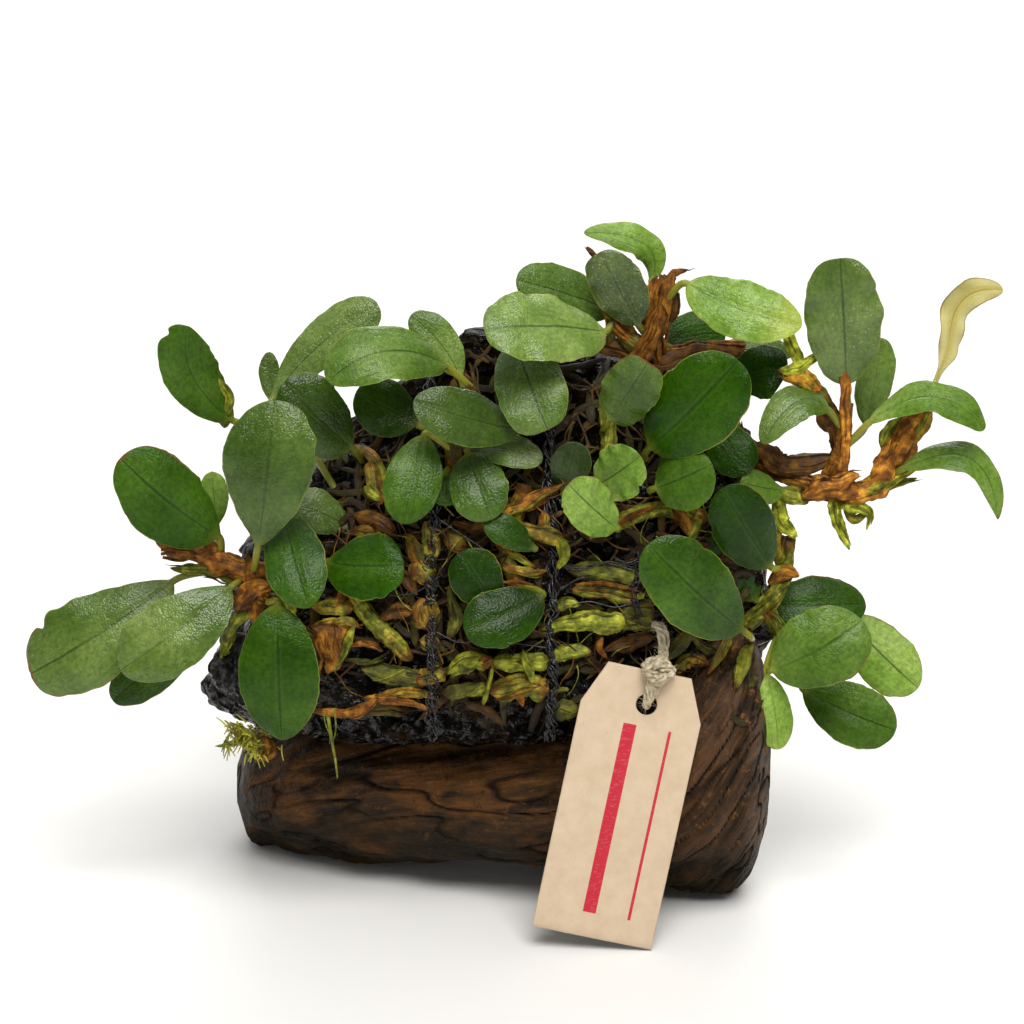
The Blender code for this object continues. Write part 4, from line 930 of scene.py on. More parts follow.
# Small leaves and those behind the wood: the same kind of blade, each part of the rhizome that it grows from.
# First those in front, in the front view; then those behind, as (x, y, z) from the foot of the wood.
SMALL_LEAVES = {
    "rhizome_left": [
        (("left", 0.5), (-78, 62, 11), (-100, 43, 13), (0, 0, 2), 12, (0, 0.1), DEEP),
        (("left", 0.6), (-74, 87, 5), (-75, 100, 5), (0, 0, 0), 7, (0, 0), FRESH)],
    "rhizome_upper_left": [
        (("upper_left", 0.4), (-41, 86.5, 12), (-55.5, 92.5, 15), (0, 1, 1), 10.5, (0, 0.3), GREY),
        (("upper_left", 0.8), (-58.5, 117, -8), (-60.5, 130, -12), (-1, 0, 0), 5, (0, 0.1), GREY)],
    "rhizome_top_left": [
        (("top_left", 0.9), (-13, 124, 3), (-25.5, 139, 0), (1, 1, 0), 9.5, (0, 0.2), (0.5, 0.5, 0.4)),
        (("top_left", 0.55), (-24, 112, 8), (-39, 120, 9), (0, 0, 0), 14, (0, 0.3), (-0.5, 0.2, 0.2)),
        (("top_left", 0.2), (-16.5, 99.5, 16), (-16.5, 91.5, 20), (0, 0, 0), 7.5, (0, 0), DEEP),
        (("top_left", 0.4), (-10.5, 105.5, 14), (7.5, 102.5, 20), (0, 2, 1), 8.5, (0, 0.5), GREY)],
    "crown_top": [
        (("top_runner", 0.3), (38.5, 132, -3), (53.5, 134.5, -8), (0, 1, 0), 12, (0, 0.1), (-0.3, 0.1, 0.0)),
        (("top_runner", 0.85), (54, 131.5, -3), (70, 129, -5), (0, 2, 0), 6, (0, 0.8), GREY),
        (("top_runner", 0.95), (55.5, 121, 3), (68.5, 124.5, 5), (0, 2, 0), 13.5, (0, 0.2),
         (-0.6, 0.1, 0.0))],
    "rhizome_right": [
        (("branch", 0.16), (49, 111, 9), (60, 100.5, 13), (0, 0, 0), 11.5, (0, 0.1), (-0.3, 0.1, 0.0)),
        (("branch", 0.3), (67.5, 95.5, 8), (57, 97.5, 14), (0, 0, 1), 8.5, (0, 0.3), FRESH)],
    "rhizome_right_low": [
        (("right_low", 0.55), (61, 68, 13), (50.5, 85, 17), (0, 0, 0), 11, (0, 0), (-0.2, 0.1, 0.0)),
        (("right_out", 0.3), (63.8, 49, 19), (66.6, 30.5, 20), (0.5, 0, 1), 8.5, (0.1, 0.1),
         (1.02, 1.0, 0.0))],
    "rhizome_middle": [
        (("middle", 0.47), (5.5, 81, 24), (-7, 87.5, 25), (0, 1, 1), 7.5, (0, 0.3), (-0.4, 0.1, 0.1))],
    "rhizome_middle_right": [
        (("middle_right", 0.05), (13, 95, 17), (16, 107.5, 19), (0, 0, 1), 9.5, (0, 0.1), (-0.7, 0, 0.4))],
}
BACK_LEAVES = {
    "rhizome_back_left": [
        (0.8, (-48, 45, 71), (-66, 54, 74), 14),
        (1.0, (-43, 47, 79), (-50, 53, 98), 15),
        (0.9, (-37, 48, 74), (-20, 58, 76), 14),
        (0.6, (-44, 46, 63), (-48, 56, 45), 15)],
    "rhizome_back_middle": [
        (0.8, (-1, 41, 96), (-18, 50, 103), 15),
        (1.0, (9, 42, 103), (24, 50, 108), 14),
        (0.6, (5, 44, 90), (6, 56, 70), 16)],
    "rhizome_back_right": [
        (0.8, (46, 45, 70), (61, 52, 80), 13),
        (1.0, (38, 47, 79), (30, 54, 95), 14),
        (0.6, (40, 46, 62), (36, 56, 44), 15)],
}
SMALL_ROWS, SMALL_AROUND, BACK_ROWS, BACK_AROUND = 34, 24, 44, 28
BACK_BOW, BACK_LOOK, BACK_TINTS = (0, 0, -2), (0, 0.3), (DEEP, GREY, DEEP, FRESH)
small = {node: [] for node in stem_skins}
small_leaves = [(node, *leaf) for node, leaves in SMALL_LEAVES.items() for leaf in leaves]
for seed, (node, grows_from, base, tip, bow, width, look, tint) in enumerate(small_leaves, 50):
    small[node].append(leaf_skin(root_of(grows_from), seen(*base), seen(*tip), bow, width, look, tint, seed,
                                 rows=SMALL_ROWS, around=SMALL_AROUND))
back_leaves = [(node, *leaf) for node, leaves in BACK_LEAVES.items() for leaf in leaves]
for seed, (node, share, base, tip, width) in enumerate(back_leaves, 80):
    base, tip, tint = np.array(base) + BOX_SHIFT, np.array(tip) + BOX_SHIFT, BACK_TINTS[seed % 4]
    small[node].append(leaf_skin(root_of((node, share)), base, tip, BACK_BOW, width, BACK_LOOK, tint, seed,
                                 rows=BACK_ROWS, around=BACK_AROUND))
for node, skins in small.items():
    if skins:
        piece(node + "_leaves", skins, leaf_paint.material, "leaf_deep_green", node)

# Net thread: black nylon net, gathered into cords that run round the wood over the stems and hold the
# plants on. Each cord is some glossy strands laid round one another, tucked into the cleft at both ends.
NET_BANDS = {"net_left": -18.7, "net_middle": 9.3}
NET_LIFT, NET_MIDDLE_Y, NET_MIDDLE_Z, NET_REACH = 3.0, 6.0, 62.0, 120.0
NET_TURNS = np.radians(np.linspace(-24, 204, 60))
NET_STEPS, THREAD_STEPS = 420, 70
NET_STRANDS, STRAND_RADIUS, NET_SPREAD, NET_TWIST, KNOT_GAP = 9, 0.21, 1.15, 0.27, 4.7
NET_STRAY = 0.8               # how far a cord strays sideways
# Loose threads on the front: places (u, v), how many strands and how far they spread.
NET_THREADS = [
    ([(31.2, 80), (31.8, 75), (30.2, 70), (31.9, 64)], 5, 0.75),
    ([(11.5, 77), (17, 75.8), (24, 77.4), (31, 75.5)], 2, 0.3),
    ([(12, 70.6), (18, 73.4), (25, 70.8), (31.5, 73)], 2, 0.4),
    ([(25.5, 79), (29, 77.2), (34, 78.5), (38, 76)], 2, 0.3),
    ([(13, 66), (19, 67.6), (26, 66.2), (31, 68)], 1, 0.0),
    ([(-18, 88), (-12, 84), (-6, 80)], 1, 0.0),
    ([(-19, 60), (-13, 57.4), (-6, 58), (9, 56)], 1, 0.0),
    ([(-18, 74), (-24, 70), (-31, 69)], 1, 0.0),
]
THREAD_LIFT = 3.6

net_paint = Paint("net_nylon", base_color=(0.008, 0.008, 0.009), coat_weight=0.2, coat_roughness=0.15)
net_noise = net_paint.here().noise(1400.0, 3.0)
net_paint.finish(roughness=net_noise.step(0.3, 0.7, 0.16, 0.34), normal=net_noise.bump(0.12))
for seed, (node, x) in enumerate(NET_BANDS.items()):
    centre = np.array([x, NET_MIDDLE_Y, NET_MIDDLE_Z])
    path = []
    for turn in NET_TURNS:
        outward = -cos(turn) * BACK + sin(turn) * SKY
        start = Vector((centre + NET_REACH * outward + BOX_SHIFT) * MM)
        hit = WOOD_TREE.ray_cast(start, Vector(-outward))[0]
        path.append(np.array(hit) / MM + NET_LIFT * outward)
    path = even(path, NET_STEPS)
    stray = np.arange(NET_STEPS)[:, None] * (0.9, 0, 0) + (0, 31.0 * seed, 0)
    path = path + NET_STRAY * rough(stray, (11, 1, 1), seed + 2, 3)[:, None] * RIGHT
    piece(node + "_cord", [laid(path, NET_STRANDS, STRAND_RADIUS, NET_SPREAD, NET_TWIST, 6, seed + 3,
                                knots=KNOT_GAP)], net_paint.material, "net_thread", node)
threads = []
for seed, (places, strands, spread) in enumerate(NET_THREADS):
    path = even([on_wood(u, v, THREAD_LIFT) for u, v in places], THREAD_STEPS)
    threads.append(laid(path, strands, 0.9 * STRAND_RADIUS, spread, NET_TWIST, 6, seed + 11))
piece("net_threads", threads, net_paint.material, "net_thread")

# Swing tag: a card of uncoated kraft board with two corners cut off and a punched hole, a little
# bowed and soft at its edges, with two plain printed rules. It leans on the stump.
TAG_LENGTH, TAG_WIDTH, TAG_TOP_WIDTH, TAG_SHOULDER, TAG_THICK = 65.3, 28.6, 19.7, 55.0, 0.6
HOLE_UP, HOLE_ASIDE, HOLE_RADIUS = 57.2, 0.9, 2.45
TAG_TURN, TAG_LEAN = radians(11.8), radians(11)
TAG_CORNER = seen(34.75, -19.75, 43.3)
lean = sin(TAG_LEAN) * BACK + cos(TAG_LEAN) * SKY
TAG_UP = cos(TAG_TURN) * lean + sin(TAG_TURN) * RIGHT
TAG_RIGHT = cos(TAG_TURN) * RIGHT - sin(TAG_TURN) * lean
TAG_OUT = np.cross(TAG_RIGHT, TAG_UP)
TAG_BOW, TAG_DENTS = 0.35, 0.10


def on_tag(aside, up, out):
    """Points given beside the card's middle line, up from its foot and out from its middle plane."""
    corner = TAG_CORNER + (TAG_THICK / 2 + 0.05) * SKY
    aside, up, out = (np.asarray(n, dtype=float)[..., None] for n in (aside, up, out))
    return corner + (aside - TAG_WIDTH / 2) * TAG_RIGHT + up * TAG_UP + out * TAG_OUT


def card_skin():
    """The card as one ring-shaped surface: rays from the hole's middle reach from the hole's rim to the
    outline on the front, turn over a rounded edge and come back on the rear to the rim again."""
    half, top = TAG_WIDTH / 2, TAG_TOP_WIDTH / 2
    corners = np.array([(half, 0), (half, TAG_SHOULDER), (top, TAG_LENGTH), (-top, TAG_LENGTH),
                        (-half, TAG_SHOULDER), (-half, 0)])
    lengths = np.linalg.norm(np.roll(corners, -1, axis=0) - corners, axis=1)
    parts = []
    for corner, following, length in zip(corners, np.roll(corners, -1, axis=0), lengths):
        t = np.linspace(0, 1, max(int(length / 0.7), 8), endpoint=False)[:, None]
        parts.append(corner + t * (following - corner))
    outline = np.concatenate(parts)
    hole = np.array((HOLE_ASIDE, HOLE_UP))
    rim = hole + HOLE_RADIUS * unit(outline - hole)
    r = np.concatenate([[0.0, 0.01], np.linspace(0.03, 0.985, 46), [0.996, 1.0]])[:, None, None]
    flat = rim[None] + r * (outline - rim)[None]
    inset = np.minimum(np.minimum((1 - r[..., 0]) * 40, r[..., 0] * 40), 1.0)
    thick = TAG_THICK / 2 * np.sqrt(np.clip(1 - (1 - inset) ** 2, 0.12, 1))
    aside, up = flat[..., 0], flat[..., 1]
    bow = TAG_BOW * (1 - (aside / half) ** 2) + TAG_DENTS * lumps(together(aside, up, 0), (12, 16, 1), 3)
    grid = np.concatenate([on_tag(aside, up, bow + thick), on_tag(aside, up, bow - thick)[::-1]])
    place = np.concatenate([together(aside, up, 1), together(aside, up, -1)[::-1]])
    edge = np.concatenate([1 - inset + 0 * bow, (1 - inset + 0 * bow)[::-1]])
    rows, around = grid.shape[:2]
    corner = np.arange(rows * around).reshape(rows, around)
    below, right = np.roll(corner, -1, axis=0), np.roll(corner, -1, axis=1)
    quads = np.stack([corner, right, np.roll(right, -1, axis=0), below], axis=-1).reshape(-1, 4)
    points = grid.reshape(-1, 3)
    if inside_out(points, quads):
        quads = quads[:, ::-1]
    tint = np.repeat(edge.reshape(-1, 1), 3, axis=1)
    return points, quads, np.zeros((0, 3), dtype=int), place.reshape(-1, 3), tint


card = Paint("card_board", roughness=0.82)
aside, up, out = card.mark("place").parts()
edge = card.mark("tint").parts()[0]
spot = card.here()
pulp = spot.noise(260.0, 5.0, 0.6)
fibre = spot.stretch((900, 900, 2600)).noise(1.0, 3.0)
board = pulp.ramp((0.3, (0.55, 0.42, 0.28)), (0.5, (0.595, 0.46, 0.315)), (0.7, (0.63, 0.495, 0.35)))
board = board.coat(fibre.step(0.62, 0.74, 0.0, 0.35), (0.52, 0.39, 0.265))
worn = board.coat(edge * 0.5, (0.48, 0.365, 0.255))
RULES = ((-1.9, 3.1, 6.0, 52.0), (7.6, 0.7, 6.0, 52.0))   # middle aside, width, from and to above the foot
ink = None
for middle, width, low, high in RULES:
    across = abs(aside - middle)
    rule = across.step(width / 2 + 0.05, width / 2 - 0.05)
    rule = rule * (up.step(low - 0.05, low + 0.05) * up.step(high + 0.05, high - 0.05))
    ink = rule if ink is None else ink.math("MAXIMUM", rule)
ink = ink * out.step(-0.1, 0.1) * fibre.step(0.72, 0.5, 0.86, 1.0)
printed = worn.coat(ink, (0.5, 0.011, 0.034))
card_height = pulp + fibre * 0.5
card.finish(base_color=printed, normal=card_height.bump(0.07))
piece("hang_tag_card", [card_skin()], card.material, "card", "hang_tag")

# Twine: three-ply jute, one strand that runs through the card's hole and back over its top into a knot,
# and from the knot up into the plants, where it is tied. It is hairy with loose fibres.
KNOT_AT, KNOT_SIZE = (1.7, 66.2, 3.0), (3.4, 2.9, 2.1)
TWINE_LOOP = [KNOT_AT, (1.5, 63.0, 2.4), (1.1, 60.0, 2.0), (0.9, 57.3, 0.9), (0.9, 57.1, -0.9),
              (1.1, 60.0, -1.9), (1.5, 63.5, -1.9), (1.7, 66.6, -1.6), (1.8, 68.0, 0.6), KNOT_AT]
TWINE_UP = [on_tag(*KNOT_AT), seen(37.5, 57.5, 29), seen(36.5, 61.5, 28), seen(34.5, 61.5, 20)]
PLIES, PLY_RADIUS, PLY_SPREAD, TWINE_TWIST = 3, 0.50, 0.47, 1.15
THIN_PLY = 0.36               # of the strands beside the first one in the loop and above the knot
LOOP_ASIDE, TAIL_ASIDE = 1.25, 1.1
# Turns of the knot: their width and height as shares of its size, how far they tip, where they start.
KNOT_TURNS = ((0.95, 0.75, 0.45, 0.4), (0.55, 1.0, 0.55, 2.1), (0.85, 0.45, 0.75, 4.0), (1.0, 0.30, 0.6, 1.2),
              (0.40, 0.75, 1.0, 3.0))

turns = np.linspace(0, 2 * pi, 60)
knot_middle = on_tag(*KNOT_AT)


def knot_turn(wide, high, tip, phase):
    """A loop round the knot's middle: a circle stretched sideways and upwards, tipped out of the card's
    plane as it goes round."""
    a = KNOT_SIZE[0] * wide * np.cos(turns + phase)
    b = KNOT_SIZE[1] * high * np.sin(turns + phase)
    c = KNOT_SIZE[2] * tip * np.sin(2 * turns + phase)
    return knot_middle + a[:, None] * TAG_RIGHT + b[:, None] * TAG_UP + c[:, None] * TAG_OUT


loop = [on_tag(*place) for place in TWINE_LOOP]
strands = [(even(loop, 90), PLY_RADIUS, PLY_SPREAD, 1), (even(TWINE_UP, 60), PLY_RADIUS, PLY_SPREAD, 2)]
for seed, knot_shape in enumerate(KNOT_TURNS, 5):
    strands.append((knot_turn(*knot_shape), 0.9 * PLY_RADIUS, PLY_SPREAD, seed))
for way in (-1, 1):
    beside = [on_tag(a + way * LOOP_ASIDE * np.clip((b - 55) / 8, 0.25, 1), b, c + 0.2)
              for a, b, c in TWINE_LOOP[:5]]
    strands.append((even(beside, 50), THIN_PLY, THIN_PLY, 12 + way))
strands.append((even(np.array(TWINE_UP) + TAIL_ASIDE * RIGHT, 60), THIN_PLY, THIN_PLY, 15))
twine_skins = [laid(path, PLIES, radius, spread, TWINE_TWIST, 8, seed)
               for path, radius, spread, seed in strands]

random = np.random.default_rng(7)
TWINE_HAIRS = 260


def hairs(starts, ways, lengths, radius, steps=5, sides=3, droop=0.0):
    """Short bent fibres: from each start along its way, curving aside by a random share and down by droop."""
    t = np.linspace(0, 1, steps)[None, :, None]
    aside = unit(random.normal(size=starts.shape))[:, None]
    bend = random.uniform(0.1, 0.6, (len(starts), 1, 1))
    paths = starts[:, None] + lengths[:, None, None] * (t * ways[:, None] + bend * t * t * aside
                                                        - droop * t * t * SKY)
    taper = radius * (1 - 0.6 * np.linspace(0, 1, steps))
    return skin(tube_grid(paths, taper, sides), np.zeros(3))


twine_line = np.concatenate([even(loop, 80), even(TWINE_UP, 60), knot_turn(0.7, 0.6, 0.4, 0)])
picked = twine_line[random.integers(0, len(twine_line), TWINE_HAIRS)]
ways = unit(random.normal(size=picked.shape))
twine_skins.append(hairs(picked, ways, random.uniform(1.2, 3.0, len(picked)), 0.05))
twine_paint = Paint("jute", roughness=0.9)
spot = twine_paint.here()
jute_noise = spot.noise(900.0, 4.0, 0.6)
jute_fibre = spot.stretch((3000, 3000, 900)).noise(1.0, 3.0)
jute = jute_noise.ramp((0.3, (0.24, 0.19, 0.11)), (0.5, (0.46, 0.39, 0.26)), (0.7, (0.66, 0.58, 0.42)))
twine_paint.finish(base_color=jute, normal=jute_fibre.bump(0.15))
piece("tag_twine_cord", twine_skins, twine_paint.material, "twine", "tag_twine")

# Old stems, leaf bases and sheaths: flat fleshy shreds left on the wood where leaves were cut, yellow-green
# where alive, rusty or brown where dead. The net holds most of them down in rows; some stick out.
# Each: places (u, v) with a lift off the wood, or (u, v, front) where it stands free; its width; how much
# of each end is pointed; its colours as (young, rusty, dull), where a young number above about 0.85 also
# brightens it with painted light.
LIME, SAFFRON, TAN, DIM = (0.95, -0.05, 0.0), (0.6, 0.45, 0.0), (0.5, 0.42, 0.35), (0.45, 0.1, 0.75)
ORANGE, UMBER, BRIGHT = (0.3, 0.95, 0.0), (0.1, 0.7, 0.7), (1.2, -0.35, 0.0)
AMBER = (0.98, 0.75, 0.0)
LYING_SHREDS = [
    ([(-43, 67), (-41.5, 73.5)], 3.2, 2.5, (0.1, 0.3), ORANGE),
    ([(-49, 66.5), (-41, 66)], 3.0, 3.4, (0.3, 0.1), SAFFRON),
    ([(-49.5, 61.5), (-44, 62.6), (-39, 62)], 3.6, 2.9, (0.6, 0.2), SAFFRON),
    ([(-44.8, 61), (-44.8, 56), (-44.7, 50.5)], 4.0, 8.5, (0.05, 0.95), ORANGE),
    ([(-39.5, 61), (-42, 55), (-44, 51)], 4.6, 2.2, (0.3, 0.7), LIME),
    ([(-40.5, 56.2), (-36, 56.8), (-32.8, 55.2)], 3.6, 1.7, (0.4, 0.3), ORANGE),
    ([(-42.2, 53.2), (-38, 52.6), (-34.7, 52), (-31.7, 53.8)], 2.8, 1.3, (0.5, 0.5), DIM),
    ([(-36.5, 50.7), (-29, 48.6), (-22, 47.8)], 2.6, 4.2, (0.3, 0.2), DIM),
    ([(-23.5, 48.2), (-20, 49), (-17.2, 50.2)], 3.2, 3.9, (0.2, 0.2), SAFFRON),
    ([(-15.8, 50.2), (-11, 52.4), (-5.8, 52.7)], 3.0, 4.1, (0.35, 0.2), LIME),
    ([(-8.5, 52.6), (-5.2, 52.6)], 3.4, 3.2, (0.4, 0.3), ORANGE),
    ([(-16.5, 44.5), (-11, 45.4), (-6.5, 45.5)], 2.8, 3.4, (0.15, 0.1), DIM),
    ([(-5, 51.5), (-5.6, 47), (-7, 42.4)], 4.4, 0.9, (0.2, 0.2), LIME),
    ([(-50, 40.7), (-43, 40.2), (-37.2, 41.2), (-34.2, 43.6)], 3.6, 2.3, (0.3, 0.3), ORANGE),
    ([(-36, 43.8), (-28, 43.2), (-19.8, 40.8)], 3.2, 2.4, (0.3, 0.6), ORANGE),
    ([(-26.5, 84), (-24, 80), (-20.8, 73)], 2.2, 4.2, (0.5, 0.3), TAN),
    ([(-23.8, 77), (-22, 72.6)], 3.0, 5.4, (0.3, 0.3), TAN),
    ([(-22.3, 67.5), (-21.2, 61.5)], 3.0, 6.0, (0.3, 0.3), TAN),
    ([(-22.4, 58), (-18.6, 57.4)], 2.6, 3.6, (0.3, 0.3), TAN),
    ([(-34.5, 102), (-34, 97), (-33.3, 92.5)], 3.4, 3.0, (0.1, 0.3), SAFFRON),
    ([(-36.5, 96), (-33.8, 93.2)], 4.4, 2.8, (0.5, 0.4), LIME),
    ([(-39, 89), (-34, 87.4), (-29.6, 84.6)], 2.2, 4.6, (0.4, 0.3), UMBER),
    ([(-39.4, 85.4), (-35, 84.8)], 3.8, 2.8, (0.4, 0.4), SAFFRON),
    ([(-46.8, 77.4), (-42.2, 77)], 4.4, 2.5, (0.5, 0.4), SAFFRON),
    ([(-31, 77), (-27, 74), (-24, 70)], 2.0, 3.0, (0.4, 0.3), UMBER),
    ([(-16, 84), (-12, 81.6)], 2.2, 5.0, (0.4, 0.3), TAN),
    ([(-14, 88), (-9, 86), (-4, 88)], 2.4, 2.6, (0.3, 0.3), UMBER),
    ([(-3.8, 88), (1, 90.6), (6, 92.4), (11, 96)], 2.8, 2.3, (0.2, 0.5), ORANGE),
    ([(7.8, 84.5), (8.4, 89.3)], 3.4, 2.6, (0.2, 0.2), SAFFRON),
    ([(-1.2, 87.2), (4.8, 85), (9.6, 83.4), (12.4, 82)], 4.4, 3.2, (0.5, 0.2), SAFFRON),
    ([(12.2, 82.8), (13, 79.5), (12, 76.2)], 5.2, 3.0, (0.15, 0.8), LIME),
    ([(-4, 82), (0.5, 79.4), (5.5, 76.5)], 3.2, 2.0, (0.3, 0.5), SAFFRON),
    ([(40.5, 90.2), (43, 87.5), (45.2, 83.8)], 3.2, 2.8, (0.3, 0.4), ORANGE),
    ([(44.5, 84.2), (47, 88)], 3.6, 2.2, (0.2, 0.5), LIME),
    ([(22, 84), (30, 88.6), (36, 91.4)], 4.0, 1.5, (0.4, 0.5), ORANGE),
    ([(15.5, 75.8), (22, 75.4), (30, 73.5)], 3.0, 4.0, (0.2, 0.05), (0.55, -0.3, 0.55)),
    ([(16, 69.8), (22, 70), (30, 69)], 3.2, 3.6, (0.2, 0.08), TAN),
    ([(16.5, 72.4), (23, 72.4), (29.8, 71)], 4.2, 0.8, (0.3, 0.3), ORANGE),
    ([(11.2, 65.4), (14, 67.2), (16.8, 66.8)], 3.4, 2.5, (0.3, 0.4), LIME),
    ([(9, 60.2), (18, 62.6), (27, 61.8)], 3.6, 4.8, (0.7, 0.08), LIME),
    ([(10.2, 53.2), (14, 54.6), (19, 54.8)], 3.0, 3.6, (0.35, 0.3), LIME),
    ([(-4.5, 52.8), (2, 52.8), (8.6, 52.4)], 2.8, 4.3, (0.25, 0.12), LIME),
    ([(2.6, 55), (4, 51), (5.6, 47.5)], 4.8, 1.6, (0.3, 0.3), LIME),
    ([(-4.8, 45.2), (2, 46.6), (8.3, 46)], 2.8, 5.2, (0.2, 0.1), (0.75, 0.3, 0.1)),
    ([(-3.5, 43.2), (1.5, 44.8), (6, 46.2)], 4.6, 0.9, (0.3, 0.3), SAFFRON),
    ([(1.2, 44.6), (2.6, 41.8)], 4.4, 2.2, (0.2, 0.8), ORANGE),
    ([(-10.5, 44.4), (-6.2, 46.2)], 3.6, 1.8, (0.4, 0.3), LIME),
    ([(10.2, 45.2), (13.6, 45.6)], 2.6, 1.2, (0.3, 0.3), LIME),
    ([(11, 41.2), (16, 40.6)], 2.0, 4.6, (0.3, 0.3), DIM),
    ([(28.4, 64), (34.6, 64)], 2.6, 5.6, (0.06, 0.1), DIM),
    ([(31.2, 68.4), (33, 69.2)], 4.2, 1.5, (0.4, 0.3), LIME),
    ([(22.5, 58.3), (21.8, 56), (23.5, 53.8)], 4.6, 1.3, (0.3, 0.4), ORANGE),
    ([(-2.8, 72), (1.5, 72.2), (5.4, 71.6)], 5.6, 0.7, (0.3, 0.3), ORANGE),
    ([(24, 56), (30, 57.6), (34.6, 58.8)], 2.0, 3.2, (0.3, 0.2), UMBER),
    ([(37.5, 53), (42, 57), (44.5, 61)], 2.4, 3.0, (0.3, 0.3), DIM),
    ([(50, 50), (53.5, 56), (55, 60)], 3.2, 2.6, (0.3, 0.3), SAFFRON),
    ([(56, 47), (58, 53), (60, 57)], 3.0, 3.2, (0.4, 0.3), LIME),
    ([(44, 60), (48, 56), (51, 55)], 2.4, 2.2, (0.4, 0.3), DIM),
    ([(-70, 60), (-72.5, 54)], 3.0, 3.4, (0.3, 0.4), LIME),
    ([(-66, 64.5), (-62, 61), (-60, 57)], 2.4, 2.6, (0.3, 0.4), SAFFRON),
    ([(-59.5, 69), (-56, 67.5), (-54.5, 65)], 11.0, 2.8, (0.3, 0.4), BRIGHT),
    ([(-33, 44.5), (-25, 45.5), (-19.5, 43.5)], 3.4, 2.0, (0.3, 0.5), SAFFRON),
    ([(-39.5, 105.5), (-35.2, 103), (-33, 98), (-32, 93)], 2.6, 2.4, (0.1, 0.1), SAFFRON),
    ([(23.6, 116), (24.6, 110), (24, 103.5)], 3.6, 3.6, (0.06, 0.06), LIME),
    ([(-9.5, 86), (-3, 89.5), (3, 92), (10.8, 96.5)], 4.0, 2.8, (0.2, 0.3), SAFFRON),
    ([(-2, 76.5), (3, 74.5), (8, 75)], 3.6, 2.2, (0.3, 0.4), SAFFRON),
    ([(-52, 60), (-47, 57.5), (-43, 57)], 3.0, 3.4, (0.4, 0.3), DIM),
    ([(-33, 63), (-29, 65.5), (-25, 65)], 2.4, 3.2, (0.4, 0.3), UMBER),
    ([(-21, 87), (-19.5, 82), (-20.5, 78)], 2.6, 4.4, (0.4, 0.3), TAN),
    ([(-15.5, 70), (-14, 64), (-15.5, 59)], 2.2, 3.4, (0.4, 0.3), DIM),
    ([(38, 84), (44, 80.5), (49, 81.5)], 2.4, 2.8, (0.3, 0.3), UMBER),
    ([(46, 66), (50, 71), (52, 74)], 2.6, 2.6, (0.3, 0.3), DIM),
    ([(40, 49.5), (44, 53.5), (48.5, 52)], 2.6, 3.4, (0.4, 0.3), SAFFRON),
]
# Litter between them: dark crumbs of old sheath, laid at random over the wood.
LITTER, LITTER_COUNT = [], 520
LITTER_TINTS = [(0.2, 0.3, 1.15), (0.4, 0.2, 1.05), (0.0, 0.5, 1.2), (0.0, 0.0, 1.3), (0.1, 0.7, 1.05),
                (0.45, 0.1, 1.0), (0.0, 0.2, 1.3), (0.3, 0.5, 0.85)]
litter = np.random.default_rng(11)
for _ in range(LITTER_COUNT):
    u, v = litter.uniform(-64, 62), litter.uniform(38, 134)
    width, size, way = litter.uniform(0.7, 2.3), litter.uniform(3, 13), litter.normal(0.1, 0.8)
    lift, bend, tint = litter.uniform(0.3, 1.2), litter.normal(0, 1.2), LITTER_TINTS[litter.integers(8)]
    step_u, step_v = size / 2 * cos(way), size / 2 * sin(way)
    places = [(u - step_u, v - step_v), (u, v + bend), (u + step_u, v + step_v)]
    if all(np.any(on_wood(a, b, 0.0) != seen(a, b, OFF_WOOD)) for a, b in places):
        LITTER.append((places, lift, width, (0.3, 0.3), tint))
